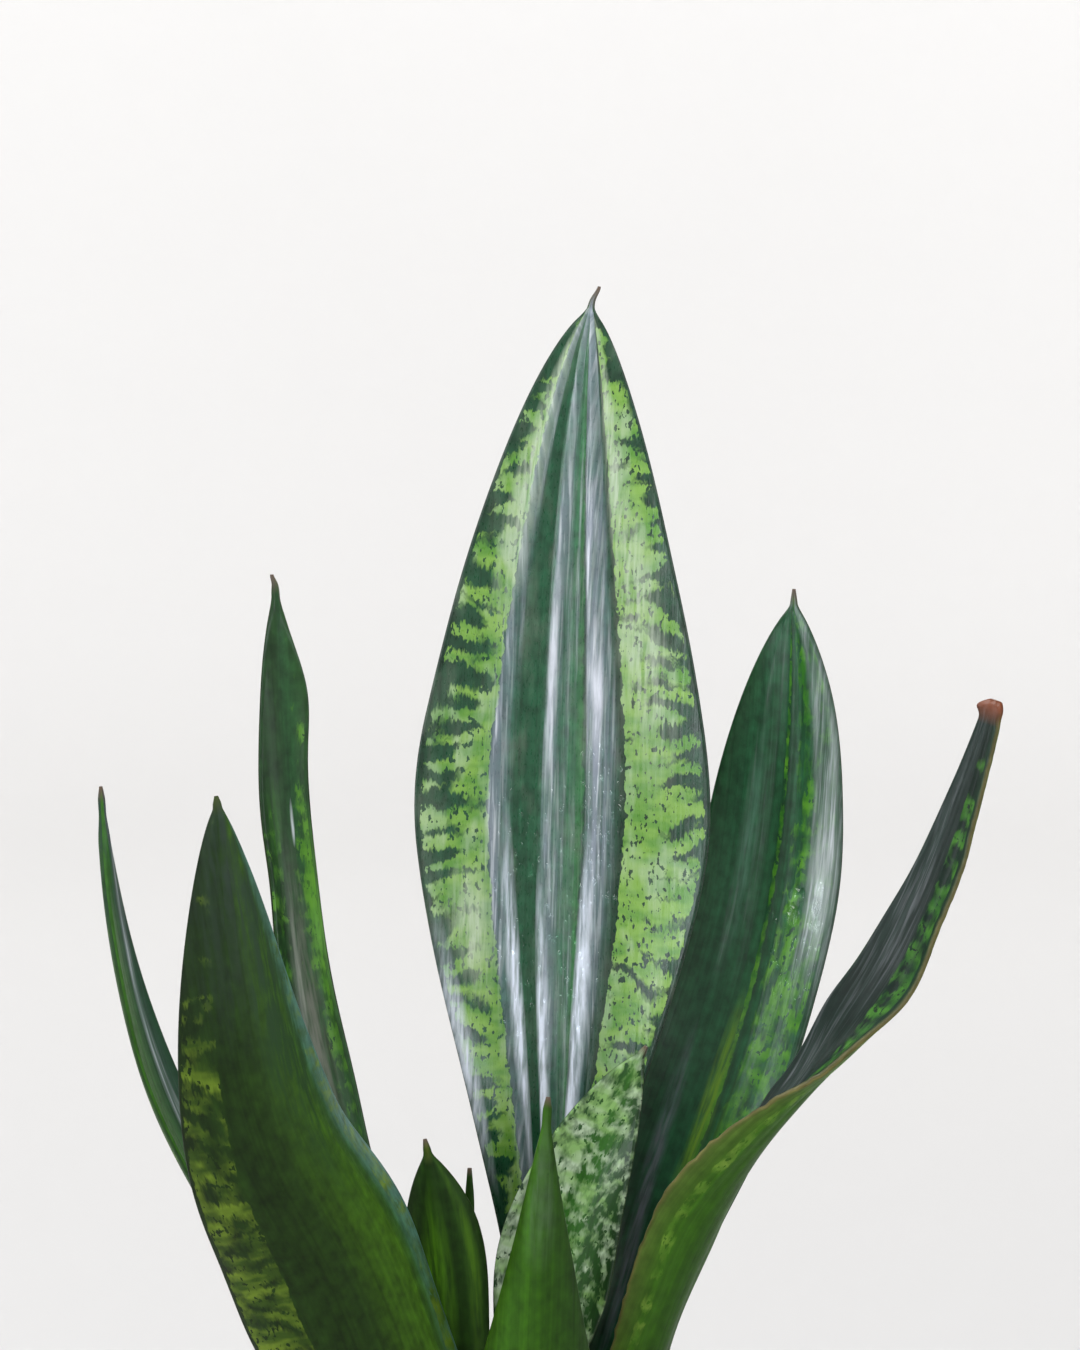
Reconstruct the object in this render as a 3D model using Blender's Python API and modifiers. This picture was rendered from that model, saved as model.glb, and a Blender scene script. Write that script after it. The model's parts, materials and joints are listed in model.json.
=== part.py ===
"""Potted snake plant: ten stiff, channelled leaves on one rhizome, in a plain terracotta pot.

Units are metres, with +Z up. The origin is the centre of the pot's underside, and -Y is the plant's front.
The leaves grow in three clumps. Round each clump's centre their feet nest like gutters of growing radius.
"""

import math
from typing import NamedTuple

import bmesh
import bpy
from mathutils import Vector

MM = 0.001
GAP = 0.3 * MM  # left between pieces that touch

# Pot
POT_HEIGHT = 125 * MM
POT_BASE_RADIUS = 47 * MM
POT_RIM_RADIUS = 70 * MM
RIM_BAND = 27 * MM  # height of the thick band round the top
RIM_STEP = 5 * MM  # how far that band stands out
POT_WALL = 6 * MM
POT_FLOOR = 9 * MM
LIP_ROUND = 2.2 * MM
DRAIN_COUNT = 3
DRAIN_RADIUS = 5.5 * MM
DRAIN_CIRCLE = 22 * MM  # radius of the circle that the drain holes stand on
TURNED_STEPS = 64
DRILL_SIDES = 20

# Potting mix and rhizome
SOIL_LEVEL = 110 * MM
RHIZOME_TOP = 105 * MM
RHIZOME_DEPTH = 24 * MM
CLUMP_SIDES = 32
CLUMP_SHARP = 40  # degrees: edges sharper than this stay crisp when shaded

# Leaves
LEAF_FOOT = RHIZOME_TOP + 1.5 * MM  # height at which every leaf is trimmed level
THICKNESS = 3.0 * MM  # along the middle of a leaf
MARGIN_SHARE = 0.35  # thickness of a leaf's edge, as a share of its middle
SPINE_HALF_WIDTH = 0.9 * MM
SPINE_END_SHARE = 0.5  # width of the spine's end, as a share of its start
TIP_CROWDING = 1.3  # above 1, rows of a leaf's mesh crowd towards its tip
WIDTH_BLEND = 0.04  # share of a leaf's length over which its width is averaged


class Leaf(NamedTuple):
    """One leaf. Lengths are in millimetres, angles in degrees, and shares are of the leaf's own length."""

    name: str
    midrib: tuple  # root, two handles and tip of a Bezier curve
    facing: tuple  # (share, bearing of the channel): 0 faces the front, 90 faces +X
    half_width: float  # at the widest place, along the curved section
    foot: float  # half width at the root
    waist: float  # share where it starts to widen
    belly: float  # share where it is widest
    shoulder: float  # above 1, it keeps its width longer before it tapers
    point: float  # below 1, the point is blunter
    end: float  # half width that is left at the point
    fold: tuple  # half angle of the channel's arc, at the root, belly and tip
    spine: float  # length of the spine at the point
    rows: int
    columns: int
    nudges: tuple = ()  # (side, share, spread, mm): where a margin stands out or is drawn in
    pinches: tuple = ()  # (share, spread, how much of the width is missing there)


class Clump(NamedTuple):
    """A place where leaves leave the rhizome, in metres."""

    centre: tuple
    radius: float


CLUMPS = (
    Clump((5 * MM, 9 * MM), 20 * MM),
    Clump((-11 * MM, -2 * MM), 23 * MM),
    Clump((1 * MM, -24 * MM), 10 * MM),
)

LEAVES = (
    Leaf(
        "leaf_tall_back",
        midrib=((5, 18, 100), (11, 14, 238), (9, 34, 381), (19, 38, 449)),
        facing=((0, 0), (1, -4)),
        half_width=39.6, foot=12, end=0, waist=0.24, belly=0.64,
        shoulder=1.15, point=0.68, fold=(78, 22, 16), spine=6,
        rows=30, columns=8, nudges=((-1, 0.36, 0.1, 2.6), (1, 0.5, 0.12, 1)),
    ),
    Leaf(
        "leaf_right",
        midrib=((12, 20, 100), (34, 24, 236), (72, 46, 230), (72, 44, 370)),
        facing=((0, -32), (0.4, -8), (1, -28)),
        half_width=20, foot=13, end=0, waist=0.1, belly=0.74,
        shoulder=2.1, point=0.78, fold=(60, 28, 20), spine=4,
        rows=26, columns=8, nudges=((-1, 0.46, 0.14, 4),), pinches=((0.3, 0.12, 0.22),),
    ),
    Leaf(
        "leaf_twisted_right",
        midrib=((17, -2, 100), (47, 2, 282), (83, -2, 204), (117, -14, 346)),
        facing=((0, -138), (0.4, -129), (0.57, -102), (0.75, -38)),
        half_width=17, foot=14, end=3, waist=0.1, belly=0.46,
        shoulder=1, point=1, fold=(50, 62, 40), spine=0,
        rows=32, columns=8, nudges=((1, 0.62, 0.07, -4),), pinches=((0.28, 0.12, 0.18),),
    ),
    Leaf(
        "leaf_front_left",
        midrib=((-14, -16, 100), (-51, -33, 278), (-56, -61, 188), (-70, -58, 328)),
        facing=((0, 170), (0.45, 207)),
        half_width=30, foot=15, end=0, waist=0, belly=0.48,
        shoulder=1.05, point=0.72, fold=(60, 60, 28), spine=2,
        rows=28, columns=8,
    ),
    Leaf(
        "leaf_narrow_left",
        midrib=((-20, 3, 100), (-39, 8, 231), (-62, 31, 224), (-63, 22, 375)),
        facing=((0, 60), (0.5, 15)),
        half_width=8.8, foot=9.5, end=0, waist=0.3, belly=0.7,
        shoulder=2, point=0.8, fold=(50, 70, 20), spine=4,
        rows=26, columns=6, nudges=((-1, 0.72, 0.04, -1.2), (1, 0.89, 0.05, 2.4), (1, 0.72, 0.09, -2)),
    ),
    Leaf(
        "leaf_far_left",
        midrib=((-28, 6, 100), (-48, 2, 216), (-99, -6, 198), (-104, -8, 324)),
        facing=((0, 70),),
        half_width=9, foot=12, end=0, waist=0.1, belly=0.6,
        shoulder=1.3, point=0.8, fold=(38, 42, 30), spine=3,
        rows=24, columns=6,
    ),
    Leaf(
        "leaf_small_inner",
        midrib=((-12, -9, 100), (-17, -6, 169), (-19, -4, 210), (-24, -4, 234)),
        facing=((0, 175),),
        half_width=12.5, foot=9, end=0, waist=0.35, belly=0.75,
        shoulder=2, point=0.95, fold=(75, 60, 30), spine=3,
        rows=16, columns=6,
    ),
    Leaf(
        "leaf_inner_spike",
        midrib=((-11, -5, 100), (-12, 2, 150), (-13, 5, 190), (-13, 6, 224)),
        facing=((0, 175),),
        half_width=4.5, foot=4, end=0, waist=0.3, belly=0.5,
        shoulder=1.2, point=0.9, fold=(70, 65, 60), spine=4,
        rows=14, columns=6,
    ),
    Leaf(
        "leaf_front_spear",
        midrib=((1, -29, 100), (5, -31, 181), (5, -33, 224), (7, -31, 251)),
        facing=((0, 180),),
        half_width=22.5, foot=6.5, end=0, waist=0.08, belly=0.45,
        shoulder=0.7, point=0.95, fold=(75, 50, 40), spine=3,
        rows=16, columns=6,
    ),
    Leaf(
        "leaf_young_mottled",
        midrib=((5, 13, 100), (1, 2, 160), (2, 0, 206), (32, 4, 256)),
        facing=((0, -10),),
        half_width=17, foot=6, end=0, waist=0.28, belly=0.64,
        shoulder=1.45, point=0.76, fold=(75, 46, 25), spine=2,
        rows=18, columns=6, nudges=((-1, 0.55, 0.12, -0.8),),
    ),
)

COLOURS = {
    "pot": (0.52, 0.21, 0.11),
    "potting_mix": (0.045, 0.03, 0.02),
    "rhizome": (0.45, 0.28, 0.13),
    "leaf": (0.045, 0.16, 0.045),
}


def clear_scene():
    for old in list(bpy.data.objects):
        bpy.data.objects.remove(old, do_unlink=True)


def new_collection(name):
    made = bpy.data.collections.new(name)
    bpy.context.scene.collection.children.link(made)
    return made


def new_object(name, mesh, collection):
    obj = bpy.data.objects.new(name, mesh)
    collection.objects.link(obj)
    return obj


def new_material(name, colour, roughness):
    material = bpy.data.materials.new(name)
    material.use_nodes = True
    shader = material.node_tree.nodes["Principled BSDF"]
    shader.inputs["Base Color"].default_value = (*colour, 1)
    shader.inputs["Roughness"].default_value = roughness
    shader.inputs["Metallic"].default_value = 0
    return material


def as_cutter(obj):
    obj.hide_render = True
    obj.display_type = "WIRE"


def add_boolean(obj, other, operation):
    modifier = obj.modifiers.new(operation.title(), "BOOLEAN")
    modifier.object = other
    modifier.operation = operation
    modifier.solver = "EXACT"


def turned(name, profile, collection, material):
    """A solid turned about Z from a profile in the XZ plane that starts and ends on the axis."""
    mesh = bpy.data.meshes.new(name)
    edges = [(i, i + 1) for i in range(len(profile) - 1)]
    mesh.from_pydata([(r, 0, z) for r, z in profile], edges, [])
    obj = new_object(name, mesh, collection)
    mesh.materials.append(material)
    screw = obj.modifiers.new("Turn", "SCREW")
    screw.steps = TURNED_STEPS
    screw.render_steps = TURNED_STEPS
    screw.use_merge_vertices = True
    screw.merge_threshold = 0.01 * MM
    screw.use_smooth_shade = True
    return obj


def rounded(before, corner, after, radius, steps=3):
    """Points of an arc that rounds the corner between two straight runs of a profile."""
    corner = Vector(corner)
    to_before = (Vector(before) - corner).normalized()
    to_after = (Vector(after) - corner).normalized()
    half = to_before.angle(to_after) / 2
    centre = corner + (to_before + to_after).normalized() * radius / math.sin(half)
    start = corner + to_before * radius / math.tan(half) - centre
    end = corner + to_after * radius / math.tan(half) - centre
    return [tuple(centre + start.lerp(end, i / steps).normalized() * radius) for i in range(steps + 1)]


def inner_radius(height):
    """Radius of the pot's inside, which is one cone from the floor to the lip."""
    share = (height - POT_FLOOR) / (POT_HEIGHT - POT_FLOOR)
    low = POT_BASE_RADIUS - POT_WALL
    return low + share * (POT_RIM_RADIUS - POT_WALL - low)


def make_pot(parts, cutters):
    """A plain flowerpot with a rim band, rounded lips and three drain holes round a solid centre."""
    band_foot = POT_HEIGHT - RIM_BAND
    taper = (POT_RIM_RADIUS - RIM_STEP - POT_BASE_RADIUS) / POT_HEIGHT
    floor_corner = (inner_radius(POT_FLOOR), POT_FLOOR)
    inner_lip = (inner_radius(POT_HEIGHT), POT_HEIGHT)
    outer_lip = (POT_RIM_RADIUS, POT_HEIGHT)
    band_edge = (POT_RIM_RADIUS - taper * RIM_BAND, band_foot)
    band_root = (POT_BASE_RADIUS + taper * band_foot, band_foot)
    foot = (POT_BASE_RADIUS, 0)
    profile = [(0, POT_FLOOR)]
    profile += rounded((0, POT_FLOOR), floor_corner, inner_lip, 2 * LIP_ROUND)
    profile += rounded(floor_corner, inner_lip, outer_lip, LIP_ROUND)
    profile += rounded(inner_lip, outer_lip, band_edge, LIP_ROUND)
    profile += rounded(outer_lip, band_edge, band_root, LIP_ROUND / 2)
    profile += [band_root]
    profile += rounded(band_root, foot, (0, 0), LIP_ROUND)
    profile += [(0, 0)]
    pot = turned("pot", profile, parts, new_material("terracotta", COLOURS["pot"], 0.85))

    drill = bmesh.new()
    for i in range(DRAIN_COUNT):
        angle = 2 * math.pi * i / DRAIN_COUNT + math.pi / 2
        made = bmesh.ops.create_cone(drill, cap_ends=True, segments=DRILL_SIDES, radius1=DRAIN_RADIUS,
                                     radius2=DRAIN_RADIUS, depth=4 * POT_FLOOR)
        place = Vector((math.cos(angle), math.sin(angle), 0)) * DRAIN_CIRCLE
        bmesh.ops.translate(drill, verts=made["verts"], vec=place)
    mesh = bpy.data.meshes.new("drain_drill")
    drill.to_mesh(mesh)
    drill.free()
    cutter = new_object("drain_drill", mesh, cutters)
    as_cutter(cutter)
    add_boolean(pot, cutter, "DIFFERENCE")


def clump_mass(name, grow, top, parts, cutters):
    """Short round stocks, one under each clump of leaves, joined into one solid.

    grow widens and deepens every stock, so that the same shape also makes the hollow it sits in.
    """
    pieces = []
    bottom = RHIZOME_TOP - RHIZOME_DEPTH - grow
    for i, clump in enumerate(CLUMPS):
        bm = bmesh.new()
        bmesh.ops.create_cone(bm, cap_ends=True, segments=CLUMP_SIDES, radius1=clump.radius + grow,
                              radius2=clump.radius + grow, depth=top - bottom)
        bmesh.ops.translate(bm, verts=bm.verts, vec=(*clump.centre, (top + bottom) / 2))
        mesh = bpy.data.meshes.new(name)
        bm.to_mesh(mesh)
        bm.free()
        mesh.shade_smooth()
        mesh.set_sharp_from_angle(angle=math.radians(CLUMP_SHARP))
        pieces.append(new_object(name if i == 0 else f"{name}_clump_{i}", mesh, cutters if i else parts))
    for piece in pieces[1:]:
        as_cutter(piece)
        add_boolean(pieces[0], piece, "UNION")
    return pieces[0]


def make_potting_mix(parts, cutters):
    """The mix fills the pot to the soil level, round the rhizome and its clumps."""
    low = POT_FLOOR + GAP
    profile = [
        (0, SOIL_LEVEL),
        (inner_radius(SOIL_LEVEL) - GAP, SOIL_LEVEL),
        (inner_radius(low + 2 * LIP_ROUND) - GAP, low + 2 * LIP_ROUND),
        (inner_radius(low) - 2 * LIP_ROUND, low),
        (0, low),
    ]
    mix = turned("potting_mix", profile, parts, new_material("potting_mix", COLOURS["potting_mix"], 1))
    above_mix = SOIL_LEVEL + POT_WALL
    hollow = clump_mass("planting_hollow", GAP, above_mix, cutters, cutters)
    as_cutter(hollow)
    add_boolean(mix, hollow, "DIFFERENCE")


def make_rhizome(parts, cutters):
    rhizome = clump_mass("rhizome", 0, RHIZOME_TOP, parts, cutters)
    rhizome.data.materials.append(new_material("rhizome", COLOURS["rhizome"], 0.7))


def ease(value):
    """0 to 1 with a soft start and end."""
    value = min(max(value, 0), 1)
    return value * value * (3 - 2 * value)


def eased_stops(stops, share):
    """A value that eases from each (share, value) stop to the next."""
    value = stops[0][1]
    for (low, before), (high, after) in zip(stops, stops[1:]):
        value += (after - before) * ease((share - low) / (high - low))
    return value


def plain_half_width(leaf, share, length):
    """Half the leaf's width along its section: foot, widening, belly, taper and spine."""
    spine_share = leaf.spine * MM / length
    blade = min(share / (1 - spine_share), 1)
    if blade < leaf.belly:
        rise = ease((blade - leaf.waist) / (leaf.belly - leaf.waist))
        width = leaf.foot + (leaf.half_width - leaf.foot) * rise
    else:
        gone = (blade - leaf.belly) / (1 - leaf.belly)
        width = leaf.end + (leaf.half_width - leaf.end) * (1 - gone**leaf.shoulder) ** leaf.point
    worn = max(share - (1 - spine_share), 0) / max(spine_share, 1e-6)
    spine = SPINE_HALF_WIDTH * (1 - (1 - SPINE_END_SHARE) * min(worn, 1))
    return max(width * MM, spine)


def half_width(leaf, share, length):
    """That width, averaged over a short stretch, so that the widest place is a round one."""
    reach = WIDTH_BLEND * min(1, (1 - share) / 0.2)
    width = sum(plain_half_width(leaf, share + reach * step / 2, length) for step in (-2, -1, 0, 1, 2)) / 5
    return width * (1 - sum(loss * math.exp(-((share - at) / spread) ** 2) for at, spread, loss in leaf.pinches))


def margin_shift(leaf, share, across):
    """How far a point moves outwards, towards its margin. The middle stays put."""
    return MM * sum(side * mm * math.exp(-((share - at) / spread) ** 2) * max(side * across, 0) ** 2
                    for side, at, spread, mm in leaf.nudges)


def fold_angle(leaf, share):
    root, belly, tip = leaf.fold
    return math.radians(eased_stops(((0, root), (leaf.belly, belly), (1, tip)), share))


def bezier(points, t):
    a, b, c, d = points
    s = 1 - t
    return a * s**3 + b * 3 * s * s * t + c * 3 * s * t * t + d * t**3


def bezier_direction(points, t):
    a, b, c, d = points
    s = 1 - t
    return ((b - a) * s * s + (c - b) * 2 * s * t + (d - c) * t * t).normalized()


class Midrib:
    """The leaf's centre line, measured by arc length."""

    def __init__(self, leaf, samples=200):
        self.points = [Vector(p) * MM for p in leaf.midrib]
        self.travel = [0.0]
        before = self.points[0]
        for i in range(1, samples + 1):
            place = bezier(self.points, i / samples)
            self.travel.append(self.travel[-1] + (place - before).length)
            before = place
        self.length = self.travel[-1]

    def parameter(self, share):
        """The curve's parameter at this share of its length."""
        wanted = share * self.length
        steps = len(self.travel) - 1
        for i in range(1, steps + 1):
            if self.travel[i] >= wanted:
                before, after = self.travel[i - 1], self.travel[i]
                return (i - 1 + (wanted - before) / (after - before)) / steps
        return 1.0


def leaf_point(leaf, midrib, share, across):
    """A point of the leaf's middle surface. across runs from -1 to 1, and the section is an arc."""
    t = midrib.parameter(share)
    place = bezier(midrib.points, t)
    along = bezier_direction(midrib.points, t)
    bearing = math.radians(eased_stops(leaf.facing, share))
    channel = Vector((math.sin(bearing), -math.cos(bearing), 0))
    channel = (channel - along * channel.dot(along)).normalized()
    side = along.cross(channel)
    fold = fold_angle(leaf, share)
    radius = half_width(leaf, share, midrib.length) / fold
    angle = fold * across
    outwards = side * math.cos(angle) + channel * math.sin(angle)
    place += outwards * margin_shift(leaf, share, across)
    return place + side * radius * math.sin(angle) + channel * radius * (1 - math.cos(angle))


def foot_share(midrib):
    """The share of the midrib's length at which it passes the height of the trimmed feet."""
    low, high = 0.0, 0.5
    for _ in range(30):
        middle = (low + high) / 2
        if bezier(midrib.points, midrib.parameter(middle)).z < LEAF_FOOT:
            low = middle
        else:
            high = middle
    return low


def make_leaf(leaf, parts, material):
    """A grid bent along the midrib and across the channel, then given its thickness."""
    midrib = Midrib(leaf)
    start = foot_share(midrib)
    bm = bmesh.new()
    bmesh.ops.create_grid(bm, x_segments=leaf.columns, y_segments=leaf.rows, size=1)
    body = bm.verts.layers.deform.verify()
    for vert in bm.verts:
        across, height = vert.co.x, (vert.co.y + 1) / 2
        share = start + (1 - start) * (1 - (1 - height) ** TIP_CROWDING)
        vert.co = leaf_point(leaf, midrib, share, across)
        if height == 0:  # the foot is trimmed level
            along = bezier_direction(midrib.points, midrib.parameter(share))
            vert.co += along * (LEAF_FOOT - vert.co.z) / along.z
        vert[body][0] = 1 - across * across
    mesh = bpy.data.meshes.new(leaf.name)
    bm.to_mesh(mesh)
    bm.free()
    mesh.shade_smooth()
    mesh.materials.append(material)
    obj = new_object(leaf.name, mesh, parts)
    obj.vertex_groups.new(name="body")
    solidify = obj.modifiers.new("Thickness", "SOLIDIFY")
    solidify.thickness = THICKNESS
    solidify.offset = 0
    solidify.vertex_group = "body"
    solidify.thickness_vertex_group = MARGIN_SHARE
    return obj


def main():
    clear_scene()
    parts = new_collection("potted_snake_plant")
    cutters = new_collection("cutters")
    make_pot(parts, cutters)
    make_potting_mix(parts, cutters)
    make_rhizome(parts, cutters)
    for leaf in LEAVES:
        make_leaf(leaf, parts, new_material(leaf.name, COLOURS["leaf"], 0.35))


main()
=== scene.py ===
# %% [markdown]
# # A potted snake plant
#
# The real object is a clump of ten stiff, waxy leaves that grow from one root stock in a clay pot.
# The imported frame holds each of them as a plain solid. This lesson gives them their surfaces:
# leaves with ridges, round margins and cross bands, crumbs of potting mix, and fired clay.
#
# The frame is loaded first, because every new piece takes its place and its limits from it.

# %% Load the frame
import json
import math
import random
from typing import NamedTuple

import bpy
import numpy as np
from mathutils import Euler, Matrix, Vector, noise
from mathutils.kdtree import KDTree

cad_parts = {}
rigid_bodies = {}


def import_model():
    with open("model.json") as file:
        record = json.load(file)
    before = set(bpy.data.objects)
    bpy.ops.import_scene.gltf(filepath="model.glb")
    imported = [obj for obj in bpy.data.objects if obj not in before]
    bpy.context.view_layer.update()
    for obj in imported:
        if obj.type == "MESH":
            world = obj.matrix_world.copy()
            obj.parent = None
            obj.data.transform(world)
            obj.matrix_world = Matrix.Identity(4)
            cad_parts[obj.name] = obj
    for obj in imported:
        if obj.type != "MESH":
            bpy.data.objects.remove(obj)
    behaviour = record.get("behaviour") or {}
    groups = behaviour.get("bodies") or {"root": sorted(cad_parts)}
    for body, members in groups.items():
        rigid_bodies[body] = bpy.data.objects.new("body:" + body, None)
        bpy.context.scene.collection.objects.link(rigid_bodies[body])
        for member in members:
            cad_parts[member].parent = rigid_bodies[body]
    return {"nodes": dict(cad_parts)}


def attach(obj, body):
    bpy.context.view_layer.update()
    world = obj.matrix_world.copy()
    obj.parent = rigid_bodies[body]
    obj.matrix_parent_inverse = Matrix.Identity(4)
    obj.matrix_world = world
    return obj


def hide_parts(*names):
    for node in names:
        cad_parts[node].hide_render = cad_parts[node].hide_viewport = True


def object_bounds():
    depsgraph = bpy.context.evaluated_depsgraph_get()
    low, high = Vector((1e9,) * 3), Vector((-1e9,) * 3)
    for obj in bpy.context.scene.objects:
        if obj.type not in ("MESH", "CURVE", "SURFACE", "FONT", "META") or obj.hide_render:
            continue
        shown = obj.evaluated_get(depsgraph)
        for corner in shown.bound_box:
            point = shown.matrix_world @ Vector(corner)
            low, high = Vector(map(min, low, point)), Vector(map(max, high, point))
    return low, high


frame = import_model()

cad_low, cad_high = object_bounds()
MM = 0.001
print("frame:", [f"{(high - low) / MM:.0f} mm" for low, high in zip(cad_low, cad_high)])

# %% [markdown]
# ## Tools that every step uses
#
# Operators act on what is selected, and the frame's solids arrive selected, so each step starts by
# deselecting everything. A finished piece is told which body it rides on, and the solids that it stands
# for are hidden.

# %% Selecting and attaching pieces
def deselect_all():
    if bpy.context.mode != "OBJECT":
        bpy.ops.object.mode_set(mode="OBJECT")
    bpy.ops.object.select_all(action="DESELECT")


def make_active(obj):
    deselect_all()
    obj.select_set(True)
    bpy.context.view_layer.objects.active = obj


def apply_modifiers(obj):
    make_active(obj)
    for modifier in list(obj.modifiers):
        bpy.ops.object.modifier_apply(modifier=modifier.name)


def hand_over(piece, slot, *nodes):
    """The piece rides on the one body and stands for the named solids."""
    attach(piece, "root")
    if nodes:
        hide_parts(*nodes)
    print(f"{piece.name}: {len(piece.data.polygons)} faces, rides on root")


# %% [markdown]
# Colours are written as they look on a screen and turned linear once, because shaders add and mix
# light. Every material is a small tree of nodes. One function adds a node, sets it and links it, and a
# node can be fed straight to the next one: the first output that it has in use is taken.

# %% Colours and nodes
def linear(colour):
    """A hex colour as the linear RGBA that a shader takes."""
    parts = [int(colour[i:i + 2], 16) / 255 for i in (0, 2, 4)]
    return (*(p / 12.92 if p <= 0.04045 else ((p + 0.055) / 1.055) ** 2.4 for p in parts), 1.0)


def feed(tree, node, inputs):
    """Gives a node its inputs. Each is a value, or the socket or node that it comes from."""
    for name, value in inputs.items():
        if isinstance(value, bpy.types.Node):
            value = next(socket for socket in value.outputs if socket.enabled)
        if isinstance(value, bpy.types.NodeSocket):
            tree.links.new(value, node.inputs[name])
        else:
            node.inputs[name].default_value = value


def add(tree, kind, inputs=None, **settings):
    """Adds a node with its settings and inputs."""
    made = tree.nodes.new("ShaderNode" + kind)
    for name, value in settings.items():
        setattr(made, name, value)
    feed(tree, made, inputs or {})
    return made


def span(value, low, high, bottom=0.0, top=1.0):
    """What a Map Range needs to rise from bottom to top while the value goes from low to high."""
    return {"Value": value, "From Min": low, "From Max": high, "To Min": bottom, "To Max": top}


def fill_ramp(node, stops):
    """Gives a Color Ramp its stops: (place from 0 to 1, hex colour or grey level)."""
    elements = node.color_ramp.elements
    while len(elements) > 1:
        elements.remove(elements[-1])
    for i, (place, value) in enumerate(stops):
        element = elements[0] if i == 0 else elements.new(place)
        element.position = place
        element.color = linear(value) if isinstance(value, str) else (value, value, value, 1)
    return node


def new_material(name):
    material = bpy.data.materials.new(name)
    material.use_nodes = True
    tree = material.node_tree
    return material, tree, tree.nodes["Principled BSDF"]


# %% [markdown]
# ## Camera, floor and light
#
# The plant is seen from a little above the middle of its leaves, through a long lens that keeps them
# upright and true to size. The aim is most of the way up the plant, so the pot falls below the view.

# %% Camera
AIM_HEIGHT = 0.7816  # share of the plant's height that the camera looks at
AIM_SIDE = 5 * MM
DISTANCE = 0.750  # m
ELEVATION = math.radians(5)
LENS = 80  # mm
SENSOR = 36  # mm

aim = Vector((AIM_SIDE, 0, AIM_HEIGHT * cad_high.z))
deselect_all()
place = aim + Vector((0, -math.cos(ELEVATION), math.sin(ELEVATION))) * DISTANCE
bpy.ops.object.camera_add(location=place, rotation=(math.pi / 2 - ELEVATION, 0, 0))
camera = bpy.context.object
camera.name = "camera"
camera.data.lens = LENS
camera.data.sensor_width = SENSOR
camera.data.clip_start = 0.01
bpy.context.scene.camera = camera
print("camera at", [round(value, 3) for value in place])

# %% [markdown]
# The floor and the backdrop are one pale sheet that turns up in a wide curve all round, like a studio
# cove, so no hard horizon shows behind the leaves from any side. A flat disc is inset, and its rim is
# drawn outwards and then up. Subdivision Surface rounds the bend.

# %% Cove
COVE_RADIUS = 3.2  # m
COVE_FLAT = 1.9
COVE_HEIGHT = 2.6

deselect_all()
bpy.ops.mesh.primitive_circle_add(vertices=64, radius=COVE_FLAT, fill_type="NGON", location=(0, 0, 0))
cove = bpy.context.object
cove.name = "cove"
bpy.ops.object.mode_set(mode="EDIT")
bpy.ops.mesh.inset(thickness=COVE_FLAT * 0.3)
bpy.ops.mesh.select_all(action="DESELECT")
bpy.ops.object.mode_set(mode="OBJECT")
for vert in cove.data.vertices:
    vert.select = vert.co.length > COVE_FLAT * 0.9
for edge in cove.data.edges:
    edge.select = all(cove.data.vertices[i].select for i in edge.vertices)
bpy.ops.object.mode_set(mode="EDIT")
bpy.ops.mesh.extrude_region_move()
scale = COVE_RADIUS / COVE_FLAT
bpy.ops.transform.resize(value=(scale, scale, 1))
bpy.ops.mesh.extrude_region_move(TRANSFORM_OT_translate={"value": (0, 0, COVE_HEIGHT)})
bpy.ops.object.mode_set(mode="OBJECT")
bend = cove.modifiers.new("Bend", "SUBSURF")
bend.levels = 3
bend.render_levels = 3
apply_modifiers(cove)
bpy.ops.object.shade_smooth()

# Unglazed paper scatters light evenly, so the sheet has no highlight of its own.
paper, tree, shader = new_material("matte_backdrop_paper")
feed(tree, shader, {"Base Color": linear("D4D3D2"), "Roughness": 0.95, "Specular IOR Level": 0.1})
cove.data.materials.append(paper)
print("cove:", len(cove.data.polygons), "faces")

# %% [markdown]
# One soft lamp hangs over the plant and a little in front, so upright leaves catch it along their
# ridges while faces that look down stay dim. Two tall, narrow lamps stand like windows on the left and
# the right, and give each blade a long highlight. Four lamps over the plant point away from it and wash
# the wall of the cove, which lights the leaves from all round. The world's light only opens the darkest
# places. The Standard view shows colours as they are, without the film curve of the usual one.

# %% Lights
AIM_OF_LIGHT = Vector((0, 0, 0.3))
LAMPS = {  # name: (place, target, width, height, watts, colour), in metres
    "overhead": ((-0.2, -0.25, 1.5), AIM_OF_LIGHT, 1.1, 0.9, 21, "FFFFFF"),
    "left_window": ((-1.15, -1.2, 0.85), AIM_OF_LIGHT, 0.4, 1.2, 9, "EFF5FF"),
    "right_window": ((1.3, -1.0, 0.8), AIM_OF_LIGHT, 0.3, 1.2, 7, "EFF5FF"),
}
WASH_WATTS = {"back": 80, "right": 33, "front": 29, "left": 33}  # the wall behind the plant is brightest
WASH_OUT = 0.9  # m from the middle to a lamp for the wall
WASH_HEIGHT = 2.4
WASH_SIZE = (3.0, 0.6)
WALL_OUT = 3.0  # m from the middle to where it points
WALL_HEIGHT = 1.6

for turns, (side, watts) in enumerate(WASH_WATTS.items()):
    angle = math.radians(90 - 90 * turns)
    outwards = Vector((math.cos(angle), math.sin(angle), 0))
    place = outwards * WASH_OUT + Vector((0, 0, WASH_HEIGHT))
    target = outwards * WALL_OUT + Vector((0, 0, WALL_HEIGHT))
    LAMPS["wall_wash_" + side] = (place, target, *WASH_SIZE, watts, "FFFFFF")
for name, (place, target, width, height, watts, colour) in LAMPS.items():
    turn = (target - Vector(place)).to_track_quat("-Z", "Y").to_euler()
    bpy.ops.object.light_add(type="AREA", location=place, rotation=turn)
    lamp = bpy.context.object
    lamp.name = name
    lamp.data.shape = "RECTANGLE"
    lamp.data.size = width
    lamp.data.size_y = height
    lamp.data.energy = watts
    lamp.data.color = linear(colour)[:3]

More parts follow.
